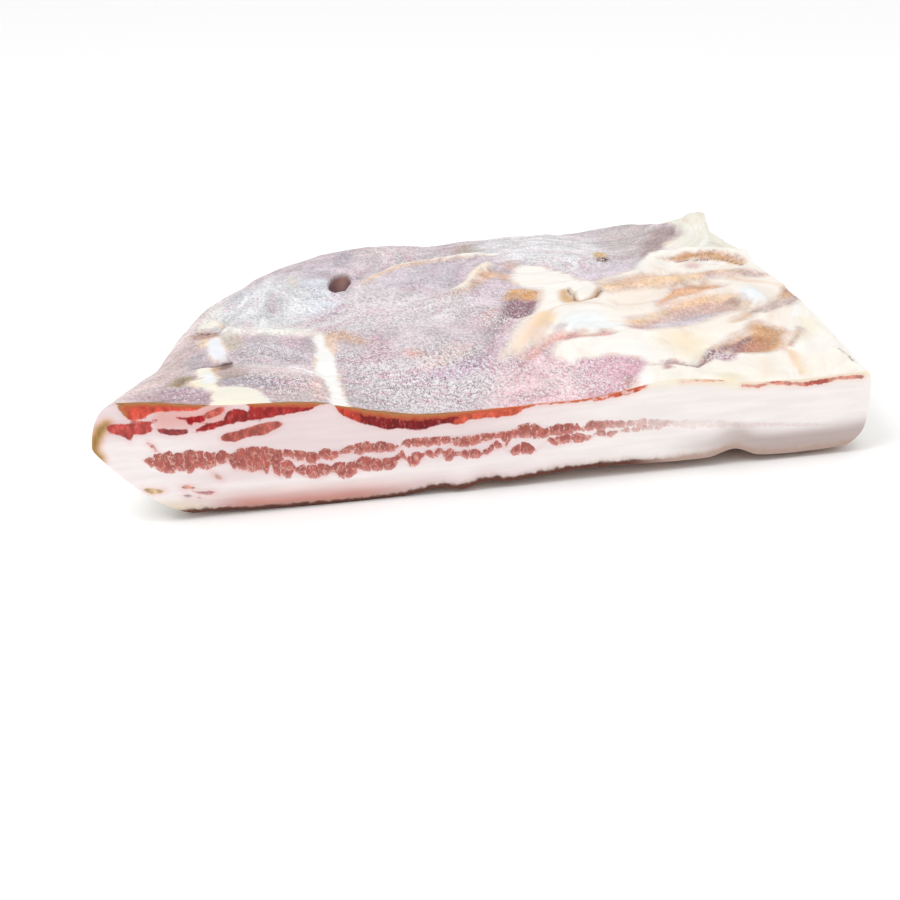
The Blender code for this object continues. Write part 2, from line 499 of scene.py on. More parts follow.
UPPER_STREAK = Streak(4.4, (172, 80, 68), (
    (-138.5, 27.4, 27), (-136.5, 28.2, 25.6), (-133.5, 29.2, 23.6), (-131, 29.4, 21.8),
    (-126.6, 29, 22), (-121, 28.8, 20.8), (-118, 28.8, 22), (-114, 28.2, 21.6), (-112, 27.6, 22.8),
    (-107.5, 28.2, 23), (-105.8, 26.8, 23.6), (-104.6, 26.2, 19.6), (-102, 28.8, 19.4),
    (-98, 28.8, 18.2), (-95, 28.4, 18.2), (-91, 27.8, 17), (-89.8, 27, 21.6), (-86, 26.4, 22.2),
    (-83, 25.8, 22.2), (-80.6, 25.4, 21), (-78, 24.4, 20.4), (-75, 24.2, 20.4), (-72, 23.8, 19.6),
    (-70.6, 22.6, 20.4), (-69.6, 24.4, 20.8), (-66, 23.8, 19.2), (-64, 23.4, 20.6),
    (-60, 24.6, 21.4), (-57.6, 24.8, 21.8), (-56, 25, 21.2), (-52, 26.4, 21.8),
    (-49.8, 25.4, 22.6), (-48.8, 24.8, 20.6), (-46, 25.4, 20.6), (-42, 24.2, 21),
    (-39.8, 23.4, 21.8), (-38.6, 22.3, 22.2), (-37.4, 24.4, 22.8), (-34.5, 25.4, 21.8),
    (-30, 24.9, 21.6), (-25, 25, 22), (-20, 24.7, 21.4), (-15, 24.3, 20.2), (-10, 24.5, 20),
    (-5, 24.8, 20.8), (0, 24.8, 21.4), (1.8, 23.6, 22.6), (2.8, 24.8, 18), (4.6, 24.4, 18.2),
    (5.4, 24.6, 22), (8, 25.6, 21.4), (13, 26.4, 21.2), (17.6, 25.8, 20.4), (19, 24, 20.8),
    (21, 25, 20.6), (22.2, 23.8, 21), (25, 25.4, 20.4), (29, 24.8, 21), (32.5, 24.2, 21),
    (34.2, 22.4, 22), (36, 24, 21.4), (38, 25.2, 21), (42, 25, 21.2), (46, 24.2, 21.4),
    (50, 24.4, 21), (55, 24, 20.8), (60, 23.8, 20.6), (66, 22.8, 20), (72, 21.8, 20.6)))
LOWER_STREAK = Streak(5, (174, 80, 72), (
    (-90, 21.6, 21.2), (-88.6, 21.8, 15.4), (-86, 22, 14.4), (-83, 21.8, 15.2), (-80.6, 20, 16.2),
    (-79.6, 17.8, 15.2), (-76, 19.2, 13.2), (-73, 18.8, 12.6), (-71, 18.6, 12.4), (-68, 18.6, 13),
    (-66.2, 16.6, 15), (-65, 18.4, 13.4), (-61, 17.4, 11.4), (-57.5, 18.4, 13.2), (-54, 19.8, 14),
    (-51, 19, 13.4), (-47, 18.2, 13.8), (-45, 18.6, 13.6), (-42, 17.6, 13.8), (-40.6, 18.4, 15.6),
    (-38.6, 20.8, 17), (-37, 19.6, 16.8), (-36.2, 17, 16.6), (-35.4, 18, 13.4), (-33, 19.4, 13.6),
    (-31, 18.9, 15.4), (-29.4, 18, 16.4), (-28.8, 20, 18.2), (-26, 19.4, 16.4), (-24, 20, 16.4),
    (-22.6, 20.2, 18), (-21.6, 18.8, 15.4), (-19, 20, 15), (-17, 18.8, 16.2), (-15.4, 17.6, 16.8),
    (-13, 18.8, 15), (-8, 18.4, 14.2), (-6.2, 17.2, 14.8), (-3.6, 18.2, 15.6), (-1.4, 20.6, 17.2),
    (0.6, 20.8, 17), (1.8, 18.6, 18.2), (5, 15.5, 15.3), (6, 17.2, 14.6), (9.5, 19, 14.4),
    (12, 18, 14), (15, 16.2, 14.4), (15.8, 15.1, 14.9), (20.2, 19.1, 18.9), (21.4, 20, 18),
    (24, 19.8, 16.4), (29, 20.3, 17), (33, 20.1, 17), (37, 19.5, 17.2), (38.6, 18.4, 18.1),
    (40, 20.2, 19), (43, 20.5, 18.2), (45.5, 20, 17.4), (48, 20.4, 18.6), (49.6, 19.5, 19.2),
    (51.4, 20.8, 18.8), (56, 20.6, 19), (60, 20.6, 18.8), (66, 19.9, 18.6), (68, 19.3, 19.1)))
FAR_STREAK = Streak(3.6, (226, 192, 184), (
    (64, 21.4, 21.2), (70, 22.2, 19.6), (75, 21.8, 18.6), (80, 21.2, 18), (85, 20.4, 17.4),
    (92, 19.4, 17), (100, 18.2, 16.4), (110, 17, 15.4), (120, 15.9, 14.6), (132, 14.4, 13.4),
    (143, 12.9, 12.6)))
CUT_MUSCLES = (
    Muscle((204, 76, 58), ((-146.6, 53), (-138, 54), (-126, 52), (-112, 50), (-109.6, 48.6),
           (-113.4, 47.3), (-118, 46.2), (-128, 46.9), (-134, 46.6), (-137, 45), (-141, 44.6),
           (-143.6, 46), (-145.6, 49.4))),
    Muscle((190, 76, 70), ((-150.8, 43.2), (-148, 43.8), (-141, 43.3), (-136, 43.7),
           (-131.2, 44.2), (-131.6, 43), (-134.6, 41.6), (-133.8, 39.6), (-137, 38.4),
           (-141.4, 38.4), (-143, 36), (-144.8, 37.8), (-147.4, 39.2), (-150.4, 40.2))),
    Muscle((150, 60, 62), ((-132.6, 40.2), (-129, 39.7), (-124, 38.9), (-120.4, 38.6), (-121, 37),
           (-126, 36.7), (-131, 38))),
    Muscle((178, 16, 28), ((-125.2, 44.5), (-121, 43.5), (-118, 43.7), (-114.2, 43.6),
           (-113.8, 41.6), (-118, 41), (-119.6, 39.8), (-121, 42))),
    Muscle((194, 92, 80), ((-114.6, 43.4), (-112, 45.4), (-107, 46.6), (-105.8, 45.4),
           (-108.2, 43.6), (-111.6, 42.2))),
    Muscle((160, 38, 38), ((-118.2, 37.8), (-113.6, 40), (-109, 40.6), (-106.2, 41.6), (-105, 44),
           (-102.6, 45.2), (-99.4, 44.6), (-97.2, 43.4), (-96.4, 45), (-97, 48.4), (-88, 49.6),
           (-78, 49), (-69, 46.6), (-66.2, 44), (-70, 43.2), (-73, 41.8), (-80, 41), (-88, 40.4),
           (-96, 39.8), (-103, 39.3), (-110, 38), (-116, 37.1))),
    Muscle((178, 90, 80), ((-108.4, 33.6), (-106.4, 35.2), (-102, 36.2), (-96, 37.2), (-91, 38.4),
           (-86, 38.6), (-84, 37), (-87, 35), (-92, 33.2), (-97, 33), (-103, 31.6),
           (-107.4, 32.2))),
    Muscle((202, 86, 62), ((-17, 37.4), (-10, 36.6), (9, 36.4), (10.6, 33.6), (8, 31.3), (2, 31),
           (-5, 31.2), (-11, 31.1), (-13, 30.1), (-17, 30.3))),
    Muscle((194, 62, 48), ((-62.8, 43.6), (-54, 43), (-52, 38), (-53, 34.2), (-60, 37.8),
           (-62.4, 40.6))),
    Muscle((126, 18, 24), ((-57, 43.4), (-44, 40.6), (-30, 37.6), (-12, 36.9), (-13, 31),
           (-13.6, 30.1), (-20, 30.4), (-25, 29.8), (-30, 28.9), (-38, 30.1), (-45, 30.9),
           (-50, 33.1), (-55, 35), (-57, 38))),
    Muscle((234, 192, 180), ((-112.8, 19.8), (-110.5, 18.4), (-108.4, 16), (-111, 16.6))),
    Muscle((210, 152, 134), ((-125, 14.8), (-122, 15.2), (-119.8, 13.7), (-124.4, 13.5))),
    Muscle((204, 150, 150), ((-119.2, 12.2), (-113.2, 11.9), (-112.4, 10.6), (-119, 10.7))),
    Muscle((190, 164, 168), ((-124.6, 11.3), (-121.8, 11.2), (-121.8, 9.9), (-124.4, 10))),
    Muscle((168, 150, 152), ((-118.9, 10.2), (-117.6, 10.2), (-117.6, 9.2), (-118.9, 9.3))),
    Muscle((212, 182, 142), ((-139.9, 15.6), (-136.6, 15.4), (-134.4, 14.9), (-131.6, 15),
           (-132.2, 13.2), (-137.8, 13.2))))


@dataclass
class CutFace:
    """What the knife cut shows: fat, muscles, lobed streaks, the dried rim and the rind."""

    form: SlabForm
    muscles: tuple[Muscle, ...] = CUT_MUSCLES
    nose: Line = (
        (-151, 43.6), (-153.4, 42), (-155.4, 39), (-157, 35), (-156.8, 32), (-155.2, 30))
    rim_end: Line = ((-148, 53), (-146.4, 50.4), (-144.6, 47))
    streaks: tuple[Streak, ...] = (UPPER_STREAK, LOWER_STREAK, FAR_STREAK)
    vessel: Line = ((-136, 34.6), (-134.4, 32.8), (-133.2, 30.6))
    left_line: Line = ((9, 33.8), (17, 35.1), (33, 34.8), (40, 35.1))
    middle_line: Line = ((40, 35), (48, 35.8), (56, 37), (60, 38.4))
    orange_line: Line = ((75, 38.4), (84, 38), (93, 37.6))
    right_line: Line = (
        (101, 34.2), (107, 33.4), (113, 34.2), (120, 33.2), (127, 32.4), (135, 32.8), (142, 33.6),
        (151, 33))
    red_line: Line = ((127.5, 32.3), (132, 32.6), (136, 32.8))
    dry_depth: Line = (
        (-157, 4.5), (-146, 4.6), (-139, 3.2), (-128, 2.6), (-112, 2), (-98, 1.8), (-85, 2.8),
        (-72, 3.4), (-62, 2), (-52, 4), (-34, 3.8), (-18, 3), (0, 1.6), (60, 1.2), (157, 1.2))
    rim_reach: float = 3.6
    fat_tone: Tone = (234, 217, 218)
    fat_right: Tone = (245, 238, 235)
    # Whiter fat, also used as a painted highlight on the left of the cut.
    white_fat_and_highlight: Tone = (248, 242, 240)
    # Pink of the fat, also painted shade where the cut curls under at the foot.
    fat_pink_and_foot_shade: Tone = (208, 142, 130)
    fat_beige: Tone = (232, 214, 184)
    fat_cream: Tone = (248, 238, 214)
    # Painted shade near the foot on the right of the cut.
    fat_painted_shade: Tone = (190, 174, 169)
    nose_orange: Tone = (228, 168, 132)
    nose_tan: Tone = (192, 152, 92)
    nose_olive: Tone = (140, 108, 60)
    blush: Tone = (228, 172, 166)

    def lean_depth(self, x: Array, height: Array) -> tuple[Array, Array, Array]:
        """Measure the lean of the cut.

        Args:
            x: along the cut.
            height: over the table.

        Returns:
            Depth inside the nearest muscle and inside the streaks, and the muscle's tone.
        """
        deepest = np.full(x.shape, -60.0)
        tone = np.tile(linear(self.fat_pink_and_foot_shade), (len(x), 1))
        lines = ((self.left_line, 0.7, (210, 118, 80)), (self.middle_line, 1.3, (204, 88, 56)),
                 (self.orange_line, 0.35, (226, 156, 112)), (self.vessel, 0.5, (206, 118, 112)),
                 (self.right_line, 0.7, (214, 146, 132)), (self.red_line, 1.0, (194, 98, 86)))
        found = [(muscle.depth_inside(x, height), muscle.tone) for muscle in self.muscles]
        found += [(half_width - line_distance(x, height, points), line_tone)
                  for points, half_width, line_tone in lines]
        for depth, lean_tone in found:
            nearer = depth > deepest
            tone = np.where(nearer[:, None], linear(lean_tone), tone)
            deepest = np.maximum(deepest, depth)
        streak = np.maximum.reduce([band.depth_inside(x, height) for band in self.streaks])
        return deepest, streak, tone

    def fat_tones(self, x: Array, height: Array, lean: Array, streak: Array) -> Array:
        """Return the tone of the fat at each place of the cut.

        Args:
            x: along the cut.
            height: over the table.
            lean: depth inside the nearest muscle.
            streak: depth inside the lobed streaks.

        Returns:
            Linear colours, one row a place.
        """
        rightwards = ease(-20.0, 60.0, x)[:, None]
        tone = mix(np.array([linear(self.fat_tone)]), linear(self.fat_right), rightwards)
        foot = height - self.form.cut_foot_height(x)
        # Whiter on the left is a painted highlight; whiter low down, under the lower streak, is
        # the fat's own tone.
        white = 0.75 * ease(-95.0, -140.0, x) * ease(42.0, 32.0, height)
        lower = ease(18.0, 12.0, height) * ease(3.0, 9.0, foot) * 0.8
        white = np.minimum(np.maximum(white, lower), 1.0)
        tone = mix(tone, linear(self.white_fat_and_highlight), white[:, None])
        # Pink towards the foot on the left: partly the fat's own pink, partly painted shade where
        # the cut curls under.
        foot_pink_and_shade = ease(13.0, 1.5, foot) * ease(-122.0, -98.0, x) * ease(-20.0, -60.0, x)
        tone = mix(tone, linear(self.fat_pink_and_foot_shade), foot_pink_and_shade[:, None])
        beige = (ease(9.0, 2.0, foot) * ease(-108.0, -126.0, x)
                 + ease(4.0, 1.0, foot) * ease(60.0, 100.0, x))
        tone = mix(tone, linear(self.fat_beige), 0.8 * beige[:, None])
        cream = ease(4.5, 0.5, self.form.cut_top_height(x) - height) * ease(50.0, 75.0, x)
        tone = mix(tone, linear(self.fat_cream), cream[:, None])
        outline = line_distance(x, height, self.nose)
        tone = mix(tone, linear(self.nose_orange), 0.6 * ease(4.6, 2.0, outline)[:, None])
        tone = mix(tone, linear(self.nose_tan), ease(2.8, 1.2, outline)[:, None])
        tone = mix(tone, linear(self.nose_olive), 0.8 * ease(1.3, 0.2, outline)[:, None])
        # Darker towards the foot on the right: painted shade.
        shade = ease(60.0, 110.0, x) * ease(14.0, 6.0, foot)
        tone = mix(tone, linear(self.fat_painted_shade), shade[:, None])
        wedge = ease(-138.0, -130.0, x) * ease(-100.0, -108.0, x) * ease(36.0, 42.0, height)
        flush = np.maximum(0.85 * wedge, 0.55 * ease(-1.0, 0.6, streak) * ease(70.0, 20.0, x))
        flush = np.maximum(flush, 0.30 * ease(-2.2, 0.0, lean))
        return mix(tone, linear(self.blush), flush[:, None])

    def dryness(self, x: Array, height: Array) -> Array:
        """Work out how dried the meat is.

        Args:
            x: along the cut.
            height: over the table.

        Returns:
            The dryness, from 0 inside to 1 at the cured top.
        """
        below_top = self.form.cut_top_height(x) - height
        end = 1.0 - line_distance(x, height, self.rim_end) / self.rim_reach
        return np.clip(np.maximum(1.0 - below_top / through(self.dry_depth, x), end), 0.0, 1.0)


@dataclass(frozen=True)
class Grain:
    """How the meat's fibres run: x, depth and angle in degrees of each guide."""

    guides: tuple[Triple, ...] = (
        (-132, 16, 8), (-118, 60, 58), (-88, 26, -8), (-86, 60, -6), (-84, 112, 52), (-40, 30, 12),
        (-30, 80, 38), (-10, 140, 40), (14, 40, 60), (34, 78, 66), (34, 108, 68), (46, 20, 74),
        (60, 90, 40), (84, 60, 22), (92, 92, 24), (112, 132, 14), (118, 48, 34), (136, 88, 38),
        (110, 12, 78), (146, 20, 70), (50, 190, 20), (112, 190, 50), (130, 166, 8), (144, 215, 80),
        (-60, 180, 46))
    reach: float = 36.0
    least_weight: float = 1e-5

    def follow(self, x: Array, depth: Array) -> tuple[Array, Array]:
        """Follow the fibres from guide to guide.

        Args:
            x: along the cut.
            depth: back from the cut.

        Returns:
            Coordinates along and across the fibres.
        """
        along = np.zeros(x.shape)
        across = np.zeros(x.shape)
        total = np.zeros(x.shape)
        for guide_x, guide_depth, angle in self.guides:
            turn = math.radians(angle)
            right = x - guide_x
            back = depth - guide_depth
            weight = np.exp(-(right ** 2 + back ** 2) / self.reach ** 2) + self.least_weight
            along += weight * (right * math.cos(turn) + back * math.sin(turn))
            across += weight * (back * math.cos(turn) - right * math.sin(turn))
            total += weight
        return along / total, across / total


class Kind(Enum):
    """What a patch of the cured top changes."""

    FAT = "fat"
    LEAN = "lean"
    WASH = "wash"
    FAT_WASH = "fat wash"


@dataclass(frozen=True)
class Patch:
    """One patch of the cured top.

    Its kind, its tone, how far its tone blends over its border, its outline and how feathered
    its border is. A wash colours what is there and leaves its border.
    """

    kind: Kind
    tone: Tone
    soft: float
    points: Line
    feather: float = 0.0

    @classmethod
    def several(cls, kind: Kind, *rows: tuple) -> tuple["Patch", ...]:
        """Make patches of one kind, each from a row of its other fields."""
        return tuple(cls(kind, *row) for row in rows)

    def depth_inside(self, x: Array, depth: Array) -> Array:
        """Return how deep each place lies in the patch."""
        return inside_distance(x, depth, rounded(self.points))


# laid over one another in this order
TOP_PATCHES = Patch.several(
    Kind.FAT,
    ((253, 248, 240), 5, ((60, -12), (60, 8), (64, 20), (68, 29), (65, 36), (57, 39.5), (46, 38),
     (37, 40), (34, 47), (39, 58), (42, 70), (38, 75), (33, 81), (32, 89), (35, 97), (39, 108),
     (43, 119), (46, 128), (40, 134), (36, 141), (37, 152), (40, 161), (47, 167), (54, 162),
     (60, 152), (65, 142), (70, 134), (78, 139), (86, 142), (93, 147), (98, 158), (104, 165),
     (111, 168), (116, 176), (119, 185), (125, 191), (130, 199), (133, 210), (135, 260),
     (178, 260), (178, -12)), 2),
    ((245, 240, 226), 3, ((-110, -10), (-110, 14), (-117, 20), (-118, 26), (-113, 31), (-114, 40),
     (-112, 50), (-109, 54), (-107, 46), (-107, 36), (-106, 28), (-107, 19), (-98, 17.5),
     (-92, 14), (-89, 6), (-88, -10)), 0.8),
    ((242, 242, 249), 2, ((-107, 60), (-108, 72), (-106, 85), (-102, 87), (-100, 76), (-100, 64),
     (-102, 60)), 1),
    ((252, 251, 249), 2.5, ((-64, -10), (-65, 6), (-63.5, 18), (-64.5, 28), (-66.5, 38), (-66, 50),
     (-64, 60), (-62, 70), (-62, 84), (-58, 87), (-58, 74), (-57.5, 62), (-57, 50), (-57.5, 36),
     (-58, 22), (-58, -10)), 0.9),
    ((247, 241, 226), 2, ((-110, 95), (-108, 103), (-103, 106), (-100, 104), (-99, 97),
     (-104, 94)), 1.6))
TOP_PATCHES += Patch.several(
    Kind.WASH,
    ((244, 232, 234), 3, ((-96, 53), (-88, 50), (-80, 47), (-72, 48), (-65, 52), (-64, 42),
     (-68, 32), (-76, 34), (-84, 39), (-91, 44))),
    ((242, 238, 228), 3.5, ((-102, 93), (-92, 95), (-80, 94), (-70, 91), (-60, 89), (-62, 84),
     (-72, 84), (-84, 87), (-96, 87))),
    ((236, 232, 218), 3, ((-108, 104), (-105, 118), (-99, 125), (-99, 106))))
TOP_PATCHES += Patch.several(
    Kind.LEAN,
    ((200, 160, 120), 1.5, ((-108, 38), (-108, 46), (-107, 54), (-103, 57), (-102, 48), (-104, 42),
     (-106, 38)), 0.6))
TOP_PATCHES += Patch.several(
    Kind.WASH,
    ((180, 150, 160), 5, ((-150, -10), (-142, 12), (-128, 17), (-112, 15), (-110, -10))),
    ((208, 180, 174), 6, ((-140, 14), (-132, 34), (-126, 56), (-118, 56), (-122, 40), (-130, 20))),
    ((226, 212, 206), 14, ((-160, -10), (-160, 60), (-140, 120), (-100, 170), (-86, 148),
     (-98, 125), (-107, 105), (-114, 88), (-122, 68), (-128, 45), (-136, 20), (-144, 0))),
    ((164, 140, 104), 2.5, ((-127, 19), (-124, 28), (-120, 36), (-115, 37), (-117, 28),
     (-120, 21))),
    ((120, 90, 64), 1, ((-123, 20), (-121, 28), (-119, 34), (-120, 26))),
    ((200, 178, 176), 6, ((-128, 56), (-120, 82), (-112, 90), (-110, 80), (-116, 62))),
    ((176, 168, 174), 3, ((-117, 54), (-113, 66), (-109, 66), (-110, 58))),
    ((238, 208, 178), 2, ((-111, 76), (-109, 88), (-106, 88), (-107, 78))),
    ((176, 140, 128), 1.8, ((-113, 87), (-110, 93), (-102, 92), (-104, 87))),
    ((190, 172, 172), 6, ((-108, 20), (-104, 38), (-98, 50), (-88, 46), (-74, 36), (-66, 26),
     (-66, 6), (-88, 6), (-92, 16))),
    ((170, 152, 142), 4, ((-107, 20), (-106, 38), (-101, 47), (-96, 40), (-97, 22))),
    ((166, 154, 164), 3, ((-106, 18), (-104, 28), (-88, 28), (-78, 22), (-80, 16), (-94, 17))),
    ((224, 200, 202), 4, ((-92, 36), (-86, 41), (-74, 36), (-74, 25), (-84, 29))),
    ((126, 96, 88), 1.4, ((-105, 44), (-103, 55), (-99, 57), (-99, 48))),
    ((236, 206, 196), 3, ((-71, 8), (-69, 26), (-66, 32), (-66, 8))),
    ((190, 178, 184), 5, ((-96, 54), (-96, 74), (-92, 87), (-80, 84), (-69, 80), (-68, 56),
     (-78, 51), (-90, 53))),
    ((192, 182, 164), 3, ((-101, 70), (-100, 86), (-93, 88), (-94, 72))),
    ((238, 237, 228), 6, ((-90, 92), (-88, 102), (-72, 108), (-64, 100), (-64, 88), (-76, 90))),
    ((224, 225, 227), 10, ((-104, 98), (-98, 125), (-84, 156), (-62, 172), (-50, 162), (-56, 120),
     (-60, 98))),
    ((198, 198, 206), 3, ((-95, 126), (-90, 150), (-85, 158), (-86, 138))),
    ((202, 200, 203), 3, ((-84, 108), (-77, 124), (-70, 136), (-67, 130), (-76, 110))),
    ((226, 214, 202), 2, ((-65, 154), (-64, 167), (-61, 167), (-62, 154))),
    ((250, 228, 222), 3, ((26, 6), (30, 22), (36, 40), (42, 42), (37, 24), (31, 6))),
    ((248, 222, 218), 3, ((11, 4), (15, 20), (22, 34), (27, 38), (21, 20), (16, 4))))
TOP_PATCHES += Patch.several(
    Kind.FAT_WASH,
    ((244, 248, 250), 2, ((-113, 22), (-112, 34), (-107, 37), (-107, 24))),
    ((246, 240, 214), 3, ((-118, 16), (-118, 28), (-114, 27), (-112, 16))),
    ((250, 242, 220), 3, ((-110, -8), (-110, 6), (-100, 4), (-92, 2), (-90, -8))))
TOP_PATCHES += Patch.several(
    Kind.FAT,
    ((248, 222, 198), 6, ((12, 48), (19, 62), (25, 74), (30, 86), (37, 93), (42, 84), (39, 72),
     (32, 62), (23, 54), (15, 47)), 4.5),
    # Cream and white along the crests of the two ridges: the fat's own tone, partly painted
    # highlight.
    ((250, 238, 218), 3, ((-29, 155), (-20, 168), (-12, 176), (-4, 181), (3, 182), (4, 178),
     (0, 175), (-8, 170), (-16, 164), (-22, 158)), 1.6),
    ((250, 247, 242), 2, ((2, 178), (14, 181), (28, 186), (38, 188), (32, 183), (16, 178),
     (3, 175)), 0.8),
    ((252, 240, 220), 3, ((4, 131), (12, 142), (18, 152), (24, 163), (30, 171), (31, 166),
     (25, 156), (19, 146), (12, 135)), 1.4))
TOP_PATCHES += Patch.several(
    Kind.LEAN,
    # Tan on the flank of the first ridge: lean, partly painted shade.
    ((228, 192, 158), 1.4, ((-34, 146), (-28, 151), (-20, 159), (-11, 166), (0, 172), (12, 176),
     (24, 180), (12, 177.5), (0, 174), (-12, 168.5), (-21, 161), (-29, 153)), 0.6))
TOP_PATCHES += Patch.several(
    Kind.WASH,
    # Tan along the flank of the second ridge: partly painted shade.
    ((224, 184, 152), 2.6, ((-12, 110), (-4, 119), (6, 128), (14, 138), (21, 148), (28, 157),
     (33, 159), (31, 153), (24, 145), (14, 133), (4, 122), (-5, 113))),
    ((208, 160, 130), 2, ((19, 149), (23, 158), (28, 159), (26, 151))),
    ((214, 170, 138), 2, ((31, 145), (32, 155), (36, 155), (35, 146))),
    ((226, 206, 216), 6, ((8, 112), (16, 128), (26, 146), (33, 140), (28, 128), (20, 110))),
    ((210, 168, 152), 3, ((37, 164), (39, 174), (44, 175), (43, 165))),
    ((224, 215, 218), 12, ((-52, 92), (-46, 132), (-24, 146), (0, 134), (6, 108), (-10, 92))),
    ((226, 230, 240), 6, ((-60, 112), (-60, 150), (-53, 166), (-47, 158), (-47, 118))),
    ((206, 196, 205), 8, ((-24, 146), (-12, 162), (10, 172), (22, 166), (10, 146), (-6, 134))),
    ((190, 180, 184), 8, ((-58, 4), (-56, 36), (-40, 38), (-28, 20), (-36, 2))),
    ((194, 164, 186), 5, ((-34, 32), (-20, 42), (-6, 47), (8, 50), (6, 40), (-8, 35), (-20, 30))),
    ((212, 166, 162), 3, ((-28, 58), (-24, 65), (-18, 58), (-18, 50), (-22, 52))),
    ((234, 206, 198), 6, ((-22, 44), (-12, 56), (-4, 64), (0, 58), (-8, 48))),
    ((240, 203, 209), 10, ((2, -10), (4, 22), (12, 38), (26, 46), (36, 46), (44, 36), (42, -10))),
    ((230, 178, 194), 6, ((38, -10), (40, 20), (44, 37), (60, 40), (70, 30), (72, -10))),
    ((170, 112, 100), 1.5, ((53, 2), (55, 10), (58, 19), (59, 16), (57, 8), (55, 2))),
    ((190, 166, 172), 5, ((9, 78), (13, 94), (22, 102), (27, 92), (22, 80), (14, 72))),
    # Dark mauve in the deep hollow: the lean darkened with painted shade.
    ((142, 100, 112), 3.5, ((20, 92), (24, 106), (29, 118), (36, 122), (42, 120), (38, 108),
     (32, 97), (26, 88))),
    ((204, 168, 146), 2, ((12, 90), (15, 100), (19, 104), (17, 93))),
    ((216, 164, 110), 2.5, ((27, 118), (29, 126), (33, 132), (40, 131), (45, 127), (42, 121),
     (35, 121))),
    ((214, 174, 148), 4, ((-59, 84), (-52, 89), (-46, 84), (-40, 74), (-43, 71), (-50, 78),
     (-58, 79))),
    ((234, 202, 178), 3, ((-60, 62), (-59, 80), (-54, 80), (-55, 64))),
    ((176, 158, 146), 4, ((17, 182), (18, 196), (22, 206), (30, 204), (31, 196), (27, 186))),
    ((146, 128, 106), 2, ((25, 184), (25, 196), (29, 198), (30, 190))),
    ((176, 166, 176), 4, ((-42, 182), (-41, 194), (-33, 204), (-30, 198), (-36, 184))),
    ((200, 192, 200), 5, ((-58, 166), (-52, 186), (-44, 192), (-46, 172))),
    ((224, 208, 210), 7, ((-28, 192), (-22, 214), (-4, 212), (-2, 200))))
TOP_PATCHES += Patch.several(
    Kind.LEAN,
    ((238, 203, 166), 4, ((70, 117), (74, 131), (82, 136), (94, 138), (108, 138), (122, 138),
     (138, 138), (149, 134), (150, 129), (138, 130), (126, 128), (112, 124), (98, 120), (84, 118),
     (76, 117)), 3),
    ((228, 176, 132), 4, ((91, 95), (98, 99), (108, 103), (118, 107), (126, 112), (128, 119),
     (122, 126), (112, 123), (104, 118), (97, 110)), 2.6),
    ((216, 184, 170), 4, ((70, 64), (73, 80), (82, 83), (92, 90), (102, 96), (114, 102),
     (127, 107), (131, 103), (131, 93), (128, 84), (120, 80), (112, 76), (104, 70), (94, 64),
     (82, 60), (74, 60)), 2.6),
    ((204, 182, 172), 3, ((116, 66), (121, 75), (128, 83), (136, 86), (141, 93), (146, 102),
     (152, 110), (158, 114), (160, 100), (154, 91), (147, 84), (138, 80), (130, 77),
     (124, 69)), 2),
    ((222, 170, 122), 4, ((100, 42), (107, 46), (113, 53), (119, 58), (125, 67), (133, 63),
     (137, 54), (134, 46), (131, 38), (125, 32), (116, 32), (109, 34), (107, 40)), 2.8),
    ((204, 178, 160), 2, ((131, 38), (136, 45), (142, 56), (144, 54), (139, 44), (133, 36)), 1.2),
    ((172, 140, 144), 1.5, ((71, 27), (80, 28.5), (88, 25.5), (93, 32), (97, 39), (101, 41),
     (101, 35), (98, 31), (93, 27), (88, 23), (80, 25), (72, 25)), 1),
    ((196, 168, 170), 2, ((98, 37), (104, 41), (109, 38), (106, 29), (100, 28)), 1.4),
    ((194, 160, 164), 1.5, ((72, 14), (74, 27), (77, 27), (76, 14)), 1.2),
    ((226, 172, 162), 2.5, ((18, 40), (21, 50), (28, 57), (34, 63), (40, 66.5), (48, 66), (56, 64),
     (60, 67), (63, 60), (60, 56), (52, 58), (46, 58), (38, 57), (30, 50), (24, 42)), 1.6),
    ((206, 156, 108), 1.5, ((109, 162.5), (118, 165), (130, 167.5), (140, 163), (149, 156),
     (148, 153.5), (138, 160), (130, 164), (120, 162.5)), 0.9))
TOP_PATCHES += Patch.several(
    Kind.WASH,
    ((206, 176, 156), 1.6, ((69, 112), (75, 116.5), (84, 119.5), (98, 121), (112, 125), (126, 129),
     (126, 126), (112, 122), (98, 118), (84, 116.5), (76, 114))),
    ((204, 180, 172), 4, ((122, 126), (130, 133), (150, 136), (151, 127), (136, 121))),
    ((232, 192, 150), 2.6, ((72, 78), (82, 84), (92, 91), (104, 98), (116, 104), (127, 108),
     (127, 103), (114, 97), (102, 92), (90, 85), (78, 76))),
    ((212, 200, 208), 5, ((80, 61), (86, 75), (98, 83), (112, 88), (116, 80), (104, 70),
     (92, 63))),
    ((190, 160, 140), 2.6, ((125, 84), (126, 99), (130, 103), (132, 92), (129, 84))),
    ((206, 162, 124), 3, ((149, 98), (152, 110), (158, 113), (160, 103))),
    ((224, 190, 156), 3, ((116, 66), (120, 75), (127, 82), (129, 76), (123, 68))),
    ((196, 136, 96), 3, ((109, 38), (113, 48), (121, 54), (127, 50), (125, 39), (117, 34))),
    ((226, 224, 226), 10, ((30, 188), (40, 174), (66, 152), (84, 162), (90, 180), (88, 206),
     (60, 218), (34, 212))),
    ((218, 206, 214), 5, ((64, 144), (70, 135), (92, 147), (99, 158), (100, 167), (84, 165),
     (70, 159))),
    ((200, 189, 189), 9, ((92, 176), (94, 216), (120, 228), (120, 190), (106, 168))),
    ((168, 146, 144), 4.5, ((103, 166), (107, 184), (116, 204), (122, 218), (131, 218), (131, 204),
     (122, 190), (114, 177), (109, 165))),
    ((208, 172, 116), 2, ((82, 172), (83, 182), (87, 184), (88, 174))),
    ((104, 62, 34), 1.4, ((81.5, 168), (82.5, 172), (87, 172), (86.5, 167))),
    ((150, 108, 104), 1.4, ((97, 38), (101, 42), (106, 44), (113, 50), (120, 55), (121, 52),
     (114, 46), (107, 41), (101, 39))),
    ((186, 156, 158), 3, ((103, 30), (108, 42), (116, 44), (112, 32))))
